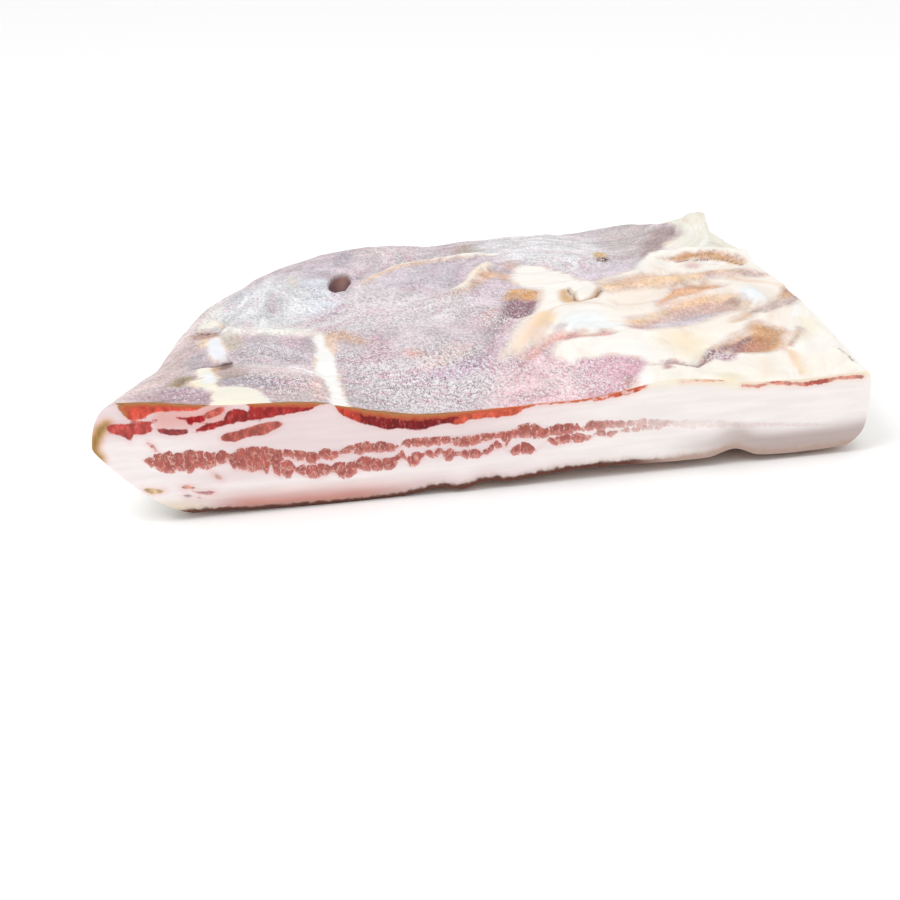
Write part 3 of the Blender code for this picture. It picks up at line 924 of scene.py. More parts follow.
TOP_PATCHES += Patch.several(
    Kind.FAT_WASH,
    ((253, 242, 230), 10, ((72, 60), (76, 130), (100, 144), (150, 140), (156, 100), (130, 60))),
    ((253, 246, 234), 8, ((70, -10), (73, 14), (86, 20), (100, 28), (112, 30), (132, 30),
     (150, 20), (160, -10))),
    ((249, 233, 205), 8, ((84, 30), (82, 52), (96, 62), (100, 48), (94, 34))),
    ((247, 219, 184), 3.6, ((124, 5), (126, 18), (129, 31), (132, 29), (130, 14), (128, 4))),
    ((249, 233, 216), 4, ((110, 4), (113, 16), (117, 26), (118, 20), (115, 6))),
    ((246, 234, 204), 4, ((90, -6), (94, 8), (101, 10), (99, -6))),
    ((246, 238, 218), 4, ((133, 40), (140, 52), (147, 68), (152, 60), (144, 44))),
    ((239, 236, 221), 8, ((128, 178), (134, 260), (172, 260), (160, 178))),
    ((226, 214, 200), 1.6, ((140, 190), (146, 186), (147, 172), (145, 172), (143, 184))),
    ((232, 198, 192), 3, ((119, 146), (122, 160), (128, 161), (126, 148))),
    ((246, 250, 252), 3, ((132, 88), (131, 104), (135, 112), (141, 108), (140, 94))),
    ((247, 250, 251), 6, ((44, 68), (46, 80), (62, 84), (70, 70), (60, 67))),
    ((248, 214, 168), 3, ((32, 74), (35, 86), (39, 95), (42, 90), (40, 76))),
    # Orange brown on the knob's flank and a dark line round it: painted shade beside the raised
    # knob.
    ((218, 172, 116), 2.2, ((51, 103), (51, 113), (54, 125), (57.5, 126), (56, 114), (56.5, 103))),
    ((186, 144, 104), 1.2, ((55.5, 102), (57, 114), (58, 127), (59, 127), (58, 114), (58, 105.5),
     (62, 106.5), (66, 110), (70, 116), (71.5, 115), (67.5, 108.5), (62.5, 104))))


@dataclass
class MeatSide:
    """What the cured top shows: lean pads, fat patches and seams, and slits in painted shade."""

    # The salted lean's own tone, paled with painted glare.
    lean_tone: Tone = (204, 190, 196)
    fat_tone: Tone = (250, 245, 238)
    patches: tuple[Patch, ...] = TOP_PATCHES
    slits: tuple[tuple[float, Line], ...] = (
        (0.6, ((-118, 52), (-112, 55), (-106, 57), (-99, 59.5))),
        (0.35, ((-113, 94), (-107, 91.5), (-101, 93), (-98.5, 98))),
        (0.15, ((73, 26), (80, 27), (88, 24), (93, 30), (98, 38))),
        (0.2, ((58, 127), (57, 116), (56.5, 105), (61, 105), (66, 108.5),
               (71, 115))),
        (0.15, ((118, 162.5), (130, 164.5), (140, 160.5), (148.5, 154.5))),
        (0.3, ((151, 32), (152, 22), (153, 12))),
        (0.6, ((-38, 161), (-33, 162))))
    salt_spots: tuple[tuple[float, float, float, float], ...] = (
        (-20, 30, 50, 0.9), (40, 22, 28, 0.8), (-84, 22, 18, 0.7), (-82, 66, 18, 0.6),
        (22, 92, 20, 0.8), (-122, 12, 14, 0.4), (100, 34, 9, 0.9), (-40, 110, 40, 0.55),
        (66, 166, 24, 0.5), (-54, 140, 20, 0.7), (4, 116, 40, 0.55), (-90, 120, 26, 0.5),
        (-10, 190, 40, 0.4))
    salt_least: float = 0.16
    salt_cloud: float = 0.5
    fat_share: float = 0.97

    def fields(self, x: Array, depth: Array) -> tuple[Array, Array, Array, Array]:
        """Work out what the cured top shows.

        Args:
            x: along the cut.
            depth: back from the cut.

        Returns:
            Depth inside the lean, feathering of its border, and the tones of lean and fat.
        """
        lean = np.full(x.shape, 20.0)
        feather = np.full(x.shape, 0.8)
        lean_tone = np.tile(linear(self.lean_tone), (len(x), 1))
        fat_tone = np.tile(linear(self.fat_tone), (len(x), 1))
        for patch in self.patches:
            inside = patch.depth_inside(x, depth)
            share = ease(-patch.soft, patch.soft, inside)[:, None]
            if patch.kind in (Kind.FAT, Kind.FAT_WASH):
                fat_tone = mix(fat_tone, linear(patch.tone), share)
            else:
                lean_tone = mix(lean_tone, linear(patch.tone), share)
            changed = lean
            if patch.kind is Kind.FAT:
                changed = np.minimum(lean, -inside)
            if patch.kind is Kind.LEAN:
                changed = np.maximum(lean, inside)
            feather = np.where(changed != lean, patch.feather, feather)
            lean = changed
        return lean, feather, lean_tone, fat_tone * self.fat_share

    def slit_gap(self, x: Array, depth: Array) -> Array:
        """Return the distance of each place from the nearest slit."""
        return np.minimum.reduce([line_distance(x, depth, points) - half_width
                                  for half_width, points in self.slits])

    def salt(self, x: Array, depth: Array) -> Array:
        """Work out how salted the top is.

        Args:
            x: along the cut.
            depth: back from the cut.

        Returns:
            The salt, from 0 to 1.
        """
        salt = np.full(x.shape, self.salt_least)
        for spot_x, spot_depth, reach, amount in self.salt_spots:
            gap = (x - spot_x) ** 2 + (depth - spot_depth) ** 2
            salt = np.maximum(salt, amount * np.exp(-gap / reach ** 2))
        cloud = rough(x, depth, 16.0, 30.0)
        return np.clip(salt * (1.0 + self.salt_cloud * cloud), 0.0, 1.0)


class Slot(Enum):
    """Places of the finishes on the slab's skin."""

    CUT = 0
    CURED = 1
    RIND = 2


@dataclass
class SlabSkin:
    """The slab's skin: a fine mesh of the slab's form that carries the fields of the meat."""

    form: SlabForm
    cut: CutFace
    meat: MeatSide
    grain: Grain
    cells: tuple[int, int, int] = (63, 49, 10)
    sharp_angle: float = 55.0
    play: float = 0.03
    spare: float = 0.45
    fine_start: float = 3.0
    slit_fade: float = 8.0
    slit_depth: float = 1.3
    hole_depth: float = 8.0
    crumbs: tuple[Triple, ...] = ((0.40, 7.5, 90.0), (0.26, 3.1, 20.0))  # height, length, layer
    fold_height: float = 0.65
    strand_height: float = 0.28
    knife_wave: float = 0.35
    lean_sink: float = 0.30
    toe_curl: float = 2.2
    toe_height: float = 7.0
    side_fat_level: float = 0.60
    side_streak: Pair = (16.0, 0.8)  # height, half width
    name: str = "slab_skin"

    def cube(self) -> bmesh.types.BMesh:
        """Cut up a cube, finest on the cut and the top and coarsest underneath.

        Returns:
            The cube, from -1 to 1.
        """
        mesh = bmesh.new()
        bmesh.ops.create_cube(mesh, size=2.0)
        for axis, cells in enumerate(self.cells):
            edges = [edge for edge in mesh.edges
                     if abs((edge.verts[0].co - edge.verts[1].co)[axis]) > 1.0]
            bmesh.ops.subdivide_edges(mesh, edges=edges, cuts=cells - 1, use_grid_fill=True)
        self.refine(mesh, lambda centre: centre.z > -ON_FACE)
        self.refine(mesh, lambda centre: centre.z > ON_FACE or centre.y < -ON_FACE)
        return mesh

    def refine(self, mesh: bmesh.types.BMesh, wanted: Callable[[Vector], bool]) -> None:
        """Split some faces into four.

        Args:
            mesh: the cube.
            wanted: tells from a face's centre whether it is split.
        """
        faces = [face for face in mesh.faces if wanted(face.calc_center_median())]
        edges = {edge for face in faces for edge in face.edges}
        bmesh.ops.subdivide_edges(mesh, edges=list(edges), cuts=1, use_grid_fill=True)

    def build(self) -> bpy.types.Object:
        """Build the skin, with its finishes' slots and its fields.

        Returns:
            The skin.
        """
        mesh = self.cube()
        cube = np.array([vertex.co[:] for vertex in mesh.verts])
        slots = [self.slot_of(face.calc_center_median()) for face in mesh.faces]
        x, depth, level = self.form.plan(cube)
        on_cut = cube[:, 1] < -ON_FACE
        on_top = cube[:, 2] > ON_FACE
        top = self.form.top_height(x, depth)
        foot = self.form.foot_height(x, depth)
        height = mix(foot, top, level)
        lean, feather, lean_tone, fat_tone = self.meat.fields(x, depth)
        slit = self.meat.slit_gap(x, depth) + self.slit_fade * ease(0.98, 0.80, level)
        along, across = self.grain.follow(x, depth)
        relief = self.top_relief(x, depth, lean, slit) + self.folds(along, across, lean)
        height = height + relief * on_top * ease(0.0, self.fine_start, depth)
        floor = self.form.hook_floor(x, depth)
        sunk = np.clip(height - floor, 0.0, self.hole_depth)
        hole = np.where(np.isfinite(floor) & on_top, sunk, 0.0)
        height = height - hole
        muscle, streak, cut_tone = self.cut.lean_depth(x, height)
        back = depth + self.cut_relief(x, height, np.maximum(muscle, streak)) * on_cut
        places = self.fitted(np.stack([x, back, height], axis=1))
        for vertex, place in zip(mesh.verts, places):
            vertex.co = place
        bmesh.ops.recalc_face_normals(mesh, faces=mesh.faces)
        data = bpy.data.meshes.new(self.name)
        mesh.to_mesh(data)
        mesh.free()
        data.polygons.foreach_set("material_index", slots)
        side = self.side_lean(lean, depth, height, level, cube)
        self.carry(data, "FLOAT", "value", {
            "muscle": muscle, "streak": streak, "dryness": self.cut.dryness(x, height),
            "lean": side, "feather": feather, "slit": slit, "hole": hole,
            "salt": self.meat.salt(x, depth), "foot": height - foot, "depth": depth})
        tones = {"cut_lean_tone": cut_tone, "lean_tone": lean_tone, "fat_tone": fat_tone,
                 "cut_fat_tone": self.cut.fat_tones(x, height, muscle, streak)}
        self.carry(data, "FLOAT_COLOR", "color", {
            name: np.insert(tone, 3, 1.0, axis=1) for name, tone in tones.items()})
        self.carry(data, "FLOAT_VECTOR", "vector", {
            "grain": np.stack([along, across, height], axis=1)})
        data.shade_smooth()
        data.set_sharp_from_angle(angle=math.radians(self.sharp_angle))
        return placed(self.name, data)

    def carry(self, data: bpy.types.Mesh, kind: str, key: str, fields: dict[str, Array]) -> None:
        """Write fields of one kind onto the mesh, under their names."""
        for name, values in fields.items():
            data.attributes.new(name, kind, "POINT").data.foreach_set(key, values.ravel())

    def fitted(self, places: Array) -> Array:
        """Fit the slab into the solid's box, with some play and a spare gap for the salt.

        Args:
            places: rows of x, depth and height, in millimetres.

        Returns:
            The places in metres, in the shared frame.
        """
        low, high = (np.array(corner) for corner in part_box(NODE))
        low, high = low + self.play * MM, high - self.play * MM
        high[2] -= self.spare * MM
        least, most = places.min(axis=0), places.max(axis=0)
        return low + (places - least) * (high - low) / (most - least)

    def slot_of(self, centre: Vector) -> int:
        """Choose the finish of a face.

        Args:
            centre: the face's centre on the cube.

        Returns:
            The finish's place.
        """
        if centre.y < -ON_FACE:
            return Slot.CUT.value
        if centre.z < -ON_FACE:
            return Slot.RIND.value
        return Slot.CURED.value

    def top_relief(self, x: Array, depth: Array, lean: Array, slit: Array) -> Array:
        """Work out the fine relief of the top: sunken lean, proud fat, crumbs and slits.

        Args:
            x: along the cut.
            depth: back from the cut.
            lean: depth inside the lean.
            slit: distance from the nearest slit.

        Returns:
            The added height.
        """
        relief = -self.lean_sink * ease(-1.5, 1.5, lean)
        for crumb, length, layer in self.crumbs:
            relief = relief + crumb * rough(x, depth, length, layer)
        return relief - self.slit_depth * ease(1.4, -0.4, slit)

    def folds(self, along: Array, across: Array, lean: Array) -> Array:
        """Work out the relief that runs with the fibres: folds of fat and strands of lean.

        Args:
            along: place along the fibres.
            across: place across them.
            lean: depth inside the lean.

        Returns:
            The added height.
        """
        fold = self.fold_height * rough(along / 3.2, across, 6.0, 60.0)
        strand = self.strand_height * rough(along / 3.0, across, 2.7, 25.0)
        return fold * ease(4.0, -2.0, lean) + strand

    def cut_relief(self, x: Array, height: Array, lean: Array) -> Array:
        """Work out how far the cut lies back: knife waves, sunken lean and the curled toe.

        Args:
            x: along the cut.
            height: over the table.
            lean: depth inside the lean.

        Returns:
            The distance back.
        """
        foot = height - self.form.cut_foot_height(x)
        back = self.knife_wave * (1.0 + rough(x, height, 38.0, 10.0)) / 2.0
        back = back + self.lean_sink * ease(-0.8, 1.0, lean)
        curl = self.toe_curl * ease(-132.0, -110.0, x) * ease(-10.0, -50.0, x) + 0.5
        return back + curl * np.clip(1.0 - foot / self.toe_height, 0.0, 1.0) ** 2

    def side_lean(self, lean: Array, depth: Array, height: Array, level: Array,
                  cube: Array) -> Array:
        """Measure the lean of the sides too.

        Args:
            lean: depth inside the lean of the top.
            depth: back from the cut.
            height: over the table.
            level: share of the slab's height.
            cube: the places on the cube, which tell the sides apart.

        Returns:
            Depth inside the lean: the natural sides have it above mid height only, and the
            trimmed side as one thin streak.
        """
        wave = 0.16 * rough(160.0 * cube[:, 0], depth, 42.0, 70.0)
        sides = np.minimum(lean, (level - self.side_fat_level + wave) * 30.0)
        middle, half_width = self.side_streak
        streak = half_width - np.abs(height - middle - 2.5 * np.sin(depth / 31.0))
        trimmed = (cube[:, 0] > ON_FACE) & (level < ON_FACE)
        return np.where(trimmed, np.maximum(streak, -4.0), np.where(level > ON_FACE, lean, sides))


class Graph:
    """A short way to write shader nodes."""

    def __init__(self, tree: bpy.types.NodeTree) -> None:
        """Keep the tree that the nodes go into."""
        self.tree = tree

    def node(self, kind: str, inputs: dict[str | int, Value] | None = None,
             **settings: object) -> bpy.types.Node:
        """Add a node.

        Args:
            kind: the node's type name.
            inputs: values or sockets by input name or number.
            settings: properties of the node.

        Returns:
            The node.
        """
        node = self.tree.nodes.new(kind)
        for name, value in settings.items():
            setattr(node, name, value)
        self.fill(node, inputs or {})
        return node

    def fill(self, node: bpy.types.Node, inputs: dict[str | int, Value]) -> None:
        """Link or set a node's inputs, given by name or number."""
        for key, value in inputs.items():
            self.feed(node.inputs[key], value)

    def feed(self, socket: Socket, value: Value) -> None:
        """Link a socket, or set its value.

        Args:
            socket: the input.
            value: a socket to link, or a plain value.
        """
        if isinstance(value, Socket):
            self.tree.links.new(value, socket)
        elif isinstance(value, tuple) and socket.type == "RGBA" and len(value) == 3:
            socket.default_value = (*value, 1.0)
        else:
            socket.default_value = value

    def math(self, operation: str, *values: Value) -> Socket:
        """Return the result of a math operation."""
        inputs = dict(enumerate(values))
        return self.node("ShaderNodeMath", inputs, operation=operation).outputs[0]

    def blend(self, share: Value, first: Value, second: Value) -> Socket:
        """Return two colours mixed, with the given share of the second."""
        inputs = {"Factor": share, 6: first, 7: second}
        return self.node("ShaderNodeMix", inputs, data_type="RGBA").outputs[2]

    def step(self, value: Value, low: float, high: float, start: float = 0.0,
             end: float = 1.0) -> Socket:
        """Step smoothly from one result to another.

        Args:
            value: what is stepped.
            low: where the step starts; it may lie above high, for a falling step.
            high: where the step ends.
            start: the result before the step.
            end: the result after it.

        Returns:
            The result.
        """
        inputs = {"Value": value, "From Min": low, "From Max": high, "To Min": start,
                  "To Max": end}
        node = self.node("ShaderNodeMapRange", inputs, interpolation_type="SMOOTHSTEP")
        return node.outputs["Result"]

    def axis(self, place: Value, index: int) -> Socket:
        """Return one coordinate of a place: x is 0, depth 1 and height 2."""
        return self.node("ShaderNodeSeparateXYZ", {0: place}).outputs[index]

    def field(self, name: str, output: str = "Fac") -> Socket:
        """Return a field that the mesh carries."""
        return self.node("ShaderNodeAttribute", attribute_name=name).outputs[output]

    def grain(self, place: Value, length: float, detail: float = 2.0,
              distortion: float = 0.0) -> Socket:
        """Return noise of a wavelength in millimetres."""
        inputs = {"Vector": place, "Scale": 1.0 / length, "Detail": detail}
        return self.node("ShaderNodeTexNoise", inputs | {"Distortion": distortion}).outputs["Fac"]

    def millimetres(self) -> Socket:
        """Return the place on the object in millimetres."""
        place = self.node("ShaderNodeTexCoord").outputs["Object"]
        return self.stretched(place, (1.0 / MM, 1.0 / MM, 1.0 / MM))

    def stretched(self, place: Value, scale: Triple) -> Socket:
        """Return a place scaled along each axis."""
        inputs = {"Vector": place, "Scale": scale}
        return self.node("ShaderNodeMapping", inputs).outputs["Vector"]

    def curve(self, stations: Line, place: Value) -> Socket:
        """Follow straight runs through stations.

        Args:
            stations: x and height of each station, in millimetres.
            place: the x that is read.

        Returns:
            The height at that x.
        """
        span, most = 320.0, 40.0
        share = self.math("MULTIPLY_ADD", place, 1.0 / span, 0.5)
        node = self.node("ShaderNodeFloatCurve", {"Value": share})
        node.mapping.extend = "HORIZONTAL"
        curve = node.mapping.curves[0]
        spots = [(x / span + 0.5, height / most) for x, height in stations]
        curve.points[0].location = spots[0]
        curve.points[1].location = spots[-1]
        for spot in spots[1:-1]:
            curve.points.new(*spot)
        for point in curve.points:
            point.handle_type = "VECTOR"
        node.mapping.update()
        return self.math("MULTIPLY", node.outputs[0], most)

    def group(self, name: str, inputs: dict[str, Value]) -> bpy.types.Node:
        """Place a shared node group."""
        return self.node("ShaderNodeGroup", inputs, node_tree=bpy.data.node_groups[name])


@dataclass(frozen=True)
class SharedEffects:
    """The node groups that more than one finish uses."""

    number: str = "NodeSocketFloat"
    colour: str = "NodeSocketColor"
    place: tuple[str, str, None] = ("Place", "NodeSocketVector", None)

    def start(self, name: str, inputs: tuple[tuple[str, str, float | None], ...],
              outputs: tuple[tuple[str, str], ...]) -> tuple[Graph, Sockets, Sockets]:
        """Make an empty group.

        Args:
            name: the group's name.
            inputs: name, socket type and value of each input.
            outputs: name and socket type of each output.

        Returns:
            The graph, what goes in and what comes out.
        """
        tree = bpy.data.node_groups.new(name, "ShaderNodeTree")
        for label, kind, value in inputs:
            socket = tree.interface.new_socket(label, in_out="INPUT", socket_type=kind)
            if value is not None:
                socket.default_value = value
        for label, kind in outputs:
            tree.interface.new_socket(label, in_out="OUTPUT", socket_type=kind)
        graph = Graph(tree)
        return graph, graph.node("NodeGroupInput").outputs, graph.node("NodeGroupOutput").inputs

    def ragged_edge(self) -> None:
        """Make a crisp, ragged mask of a distance field, with the rim beside its edge."""
        graph, given, result = self.start(
            "ragged edge",
            (self.place, ("Distance", self.number, 0.0), ("Reach", self.number, 0.5),
             ("Softness", self.number, 0.2), ("Rim", self.number, 1.0)),
            (("Mask", self.number), ("Rim", self.number)))
        wide = graph.grain(given["Place"], 2.6, 3.0)
        centred = graph.math("SUBTRACT", wide, 0.5)
        shift = graph.math("MULTIPLY", centred, graph.math("MULTIPLY", given["Reach"], 4.0))
        ragged = graph.math("ADD", given["Distance"], shift)
        sharp = graph.math("DIVIDE", ragged, given["Softness"])
        graph.feed(result["Mask"], graph.step(sharp, -1.0, 1.0))
        near = graph.math("DIVIDE", graph.math("ABSOLUTE", ragged), given["Rim"])
        graph.feed(result["Rim"], graph.step(near, 1.0, 0.0))

    def frost(self) -> None:
        """Make the bloom of salt: pale specks of one size in random places."""
        graph, given, result = self.start(
            "salt frost",
            (self.place, ("Size", self.number, 0.9), ("Cover", self.number, 0.5)),
            (("Specks", self.number),))
        inputs = {"Vector": given["Place"], "Scale": graph.math("DIVIDE", 1.0, given["Size"])}
        cells = graph.node("ShaderNodeTexVoronoi", inputs)
        pick = graph.node("ShaderNodeSeparateColor", {"Color": cells.outputs["Color"]})
        chosen = graph.math("LESS_THAN", pick.outputs[0], given["Cover"])
        dot = graph.step(cells.outputs["Distance"], 0.62, 0.18)
        graph.feed(result["Specks"], graph.math("MULTIPLY", chosen, dot))

    def mottle(self) -> None:
        """Make a tone uneven: darker and lighter by a noise."""
        graph, given, result = self.start(
            "mottle",
            (self.place, ("Tone", self.colour, None), ("Length", self.number, 4.0),
             ("Strength", self.number, 0.2)),
            (("Tone", self.colour), ("Noise", self.number)))
        inputs = {"Vector": given["Place"], "Scale": graph.math("DIVIDE", 1.0, given["Length"]),
                  "Detail": 4.0}
        cloud = graph.node("ShaderNodeTexNoise", inputs).outputs["Fac"]
        spread = graph.step(cloud, 0.32, 0.68, -1.0, 1.0)
        gain = graph.math("ADD", 1.0, graph.math("MULTIPLY", spread, given["Strength"]))
        scaled = graph.node("ShaderNodeVectorMath", {0: given["Tone"]}, operation="SCALE")
        graph.feed(scaled.inputs["Scale"], gain)
        graph.feed(result["Tone"], scaled.outputs[0])
        graph.feed(result["Noise"], cloud)

    def build(self) -> None:
        """Make the groups."""
        self.ragged_edge()
        self.frost()
        self.mottle()


def new_material(name: str) -> tuple[bpy.types.Material, Graph, bpy.types.Node]:
    """Make a material with a Principled shader.

    Args:
        name: the material's name.

    Returns:
        The material, its graph and its shader.
    """
    material = bpy.data.materials.new(name)
    material.use_nodes = True
    graph = Graph(material.node_tree)
    return material, graph, material.node_tree.nodes["Principled BSDF"]


@dataclass(frozen=True)
class FreshCut:
    """The finish of the knife cut: moist fat, lobed streaks, dried rim and a line of rind."""

    red_brown: Tone = (192, 92, 58)
    tan_brown: Tone = (184, 122, 76)
    olive: Tone = (150, 114, 62)
    orange_red: Tone = (206, 104, 66)
    lobe_dark: Tone = (150, 64, 52)
    vein_tone: Tone = (228, 148, 130)
    net_tone: Tone = (240, 198, 178)
    pale_foot: Tone = (212, 140, 134)
    # The rind line's brown is darkened with painted shadow; the paler tone is the rind on the
    # right and a band of painted shade above the line.
    rind_tone: Tone = (100, 58, 46)
    pale_rind_and_shade: Tone = (186, 160, 148)
    hair: float = 0.16
    roughness_fat: float = 0.40
    roughness_lean: float = 0.34

    def lobes(self, graph: Graph, place: Value, streak: Streak) -> tuple[Socket, ...]:
        """Draw the lobes of one streak: blocks with rounded corners, side by side.

        Args:
            graph: takes the nodes.
            place: in millimetres.
            streak: the band that the lobes fill.

        Returns:
            The mask of the lobes, a random value for each lobe and how near its foot is.
        """
        warp = graph.node("ShaderNodeTexNoise", {"Vector": place, "Scale": 0.22, "Detail": 3.0})
        shift = graph.node("ShaderNodeVectorMath", {0: warp.outputs["Color"],
                                                    1: (0.5, 0.5, 0.5)}, operation="SUBTRACT")
        moved = graph.node("ShaderNodeVectorMath", {0: shift.outputs[0], 1: (7.0, 0.0, 2.4),
                                                    2: place}, operation="MULTIPLY_ADD")
        parts = graph.node("ShaderNodeSeparateXYZ", {0: moved.outputs[0]}).outputs
        column = graph.math("DIVIDE", parts[0], streak.lobe_width)
        given = {"W": column, "Scale": 1.0, "Randomness": 0.9}
        cells = graph.node("ShaderNodeTexVoronoi", given, voronoi_dimensions="1D")
        rims = graph.node("ShaderNodeTexVoronoi", given, voronoi_dimensions="1D",
                          feature="DISTANCE_TO_EDGE")
        chance = graph.node("ShaderNodeSeparateColor", {"Color": cells.outputs["Color"]}).outputs
        x = graph.axis(place, 0)
        upper = graph.math("SUBTRACT", graph.curve(streak.edge(1), x), parts[2])
        lower = graph.math("SUBTRACT", parts[2], graph.curve(streak.edge(2), x))
        first, last = streak.stations[0][0], streak.stations[-1][0]
        within = graph.math("MULTIPLY", graph.step(x, first - 0.5, first + 0.5),
                            graph.step(x, last + 0.5, last - 0.5))
        thick = graph.math("ADD", upper, lower)
        shares = (graph.math("MULTIPLY_ADD", chance[0], 1.0, -0.35),
                  graph.math("MULTIPLY_ADD", chance[1], 1.8, -0.7))
        free = graph.step(thick, 0.6, 3.4)
        upper, lower = (graph.math("MULTIPLY_ADD", share, free, value)
                        for share, value in zip(shares, (upper, lower)))
        side = graph.math("MULTIPLY", rims.outputs["Distance"], streak.lobe_width)
        hair = graph.step(graph.grain(place, 6.0), 0.35, 0.65, 0.0, self.hair)
        side = graph.math("SUBTRACT", side, hair)
        end = graph.math("MINIMUM", upper, lower)
        corner = streak.lobe_width * 0.30
        short = [graph.math("MAXIMUM", graph.math("SUBTRACT", corner, value), 0.0)
                 for value in (side, end)]
        reach = graph.math("SQRT", graph.math("ADD", graph.math("POWER", short[0], 2.0),
                                              graph.math("POWER", short[1], 2.0)))
        depth = graph.math("SUBTRACT", corner, reach)
        rag = graph.math("MULTIPLY_ADD", graph.grain(place, 0.9, 3.0), 1.4, -0.7)
        mask = graph.step(graph.math("ADD", depth, rag), -0.34, 0.10)
        mask = graph.math("MULTIPLY", graph.math("MULTIPLY", mask, within),
                          graph.step(thick, 0.4, 1.2))
        return mask, chance[2], graph.step(lower, 2.0, 0.1)

    def dried(self, graph: Graph, place: Value, lean: Value) -> Socket:
        """Dry the lean towards the cured top: red brown, then tan, then olive.

        Args:
            graph: takes the nodes.
            place: in millimetres.
            lean: the tone of the lean.

        Returns:
            The dried tone.
        """
        cloud = graph.math("MULTIPLY_ADD", graph.grain(place, 2.8, 3.0), 0.7, -0.35)
        dry = graph.math("ADD", graph.field("dryness"), cloud)
        tone = graph.blend(graph.step(dry, 0.18, 0.52), lean, linear(self.red_brown))
        right = graph.step(graph.axis(place, 0), -24.0, 4.0)
        outer = graph.blend(right, linear(self.olive), linear(self.orange_red))
        inner = graph.blend(right, linear(self.tan_brown), linear(self.orange_red))
        tone = graph.blend(graph.step(dry, 0.54, 0.86), tone, inner)
        return graph.blend(graph.step(dry, 0.82, 1.05), tone, outer)

    def material(self) -> bpy.types.Material:
        """Make the finish.

        Returns:
            The material.
        """
        material, graph, shader = new_material("fresh_cut")
        place = graph.millimetres()
        x = graph.axis(place, 0)
        layers = graph.stretched(place, (0.12, 1.0, 1.0))
        fat = graph.group("mottle", {"Place": layers,
                                     "Tone": graph.field("cut_fat_tone", "Color"),
                                     "Length": 3.0, "Strength": 0.035}).outputs["Tone"]
        fibre = graph.stretched(place, (1.0, 1.0, 0.5))
        meat = graph.group("mottle", {"Place": fibre,
                                      "Tone": graph.field("cut_lean_tone", "Color"),
                                      "Length": 2.2, "Strength": 0.30})
        edge = graph.group("ragged edge", {"Place": place, "Distance": graph.field("muscle"),
                                           "Reach": 0.42, "Softness": 0.34, "Rim": 1.0})
        broken = graph.step(graph.grain(place, 2.8, 3.0), 0.40, 0.54)
        solid = graph.step(x, 14.0, 9.0)
        solid = graph.math("MAXIMUM", solid, graph.step(x, 93.0, 98.0))
        present = graph.math("MAXIMUM", broken, solid)
        veins = graph.step(graph.grain(fibre, 1.1, 4.0), 0.52, 0.82, 0.0, 0.50)
        red = graph.blend(veins, meat.outputs["Tone"], linear(self.vein_tone))
        red = self.dried(graph, place, red)
        wet = graph.math("MULTIPLY", edge.outputs["Mask"],
                         graph.math("MULTIPLY_ADD", present, 0.6, 0.4))
        body = graph.blend(wet, fat, red)
        sway = graph.node("ShaderNodeTexNoise", {"Vector": place, "Scale": 0.5, "Detail": 2.0})
        bent = graph.node("ShaderNodeVectorMath", {0: sway.outputs["Color"], 1: (1.8, 0.0, 1.2),
                                                   2: graph.stretched(place, (0.60, 0.0, 0.36))},
                          operation="MULTIPLY_ADD")
        net = graph.node("ShaderNodeTexVoronoi", {"Vector": bent.outputs[0], "Scale": 1.0},
                         feature="DISTANCE_TO_EDGE").outputs["Distance"]
        net = graph.math("MULTIPLY", graph.step(net, 0.13, 0.03),
                         graph.step(graph.grain(place, 2.4, 3.0), 0.38, 0.64, 0.0, 0.50))
        far = graph.step(x, 26.0, 84.0, 0.92, 0.22)
        for streak in (UPPER_STREAK, LOWER_STREAK, FAR_STREAK):
            mask, chance, low = self.lobes(graph, place, streak)
            lobe = graph.group("mottle", {"Place": fibre, "Tone": linear(streak.tone),
                                          "Length": 1.6, "Strength": 0.26}).outputs["Tone"]
            lobe = graph.blend(graph.step(chance, 0.3, 1.0, 0.0, 0.5), lobe,
                               linear(self.lobe_dark))
            lobe = graph.blend(graph.math("MULTIPLY", low, 0.60), lobe, linear(self.pale_foot))
            lobe = graph.blend(net, lobe, linear(self.net_tone))
            body = graph.blend(graph.math("MULTIPLY", mask, far), body, lobe)
            wet = graph.math("MAXIMUM", wet, mask)
        hairs = graph.stretched(place, (0.7, 1.0, 0.5))
        rag = graph.math("MULTIPLY_ADD", graph.grain(hairs, 2.0, 4.0), 3.0, -1.5)
        foot = graph.math("ADD", graph.field("foot"), rag)
        right = graph.step(x, 52.0, 74.0)
        # The rind line: its brown darkened with painted shadow, paler on the right; above it a
        # band of painted shade.
        rind = graph.blend(right, linear(self.rind_tone), linear(self.pale_rind_and_shade))
        body = graph.blend(graph.step(foot, 4.6, 1.8, 0.0, 0.45), body, linear(self.pale_rind_and_shade))
        tone = graph.blend(graph.step(foot, 2.7, 1.3), body, rind)
        roughness = graph.step(wet, 0.0, 1.0, self.roughness_fat, self.roughness_lean)
        height = graph.math("ADD", graph.math("MULTIPLY", meat.outputs["Noise"], wet),
                            graph.math("MULTIPLY", graph.grain(place, 2.2, 3.0), 0.25))
        height = graph.math("SUBTRACT", height, graph.math("MULTIPLY", wet, 0.5))
        relief = {"Height": height, "Distance": 0.0003, "Strength": 0.6}
        graph.fill(shader, {
            "Base Color": tone, "Roughness": roughness, "Specular IOR Level": 0.22,
            "Normal": graph.node("ShaderNodeBump", relief).outputs[0],
            "Subsurface Weight": 0.10, "Subsurface Radius": (0.003, 0.0014, 0.001),
            "Subsurface Scale": 1.0})
        return material


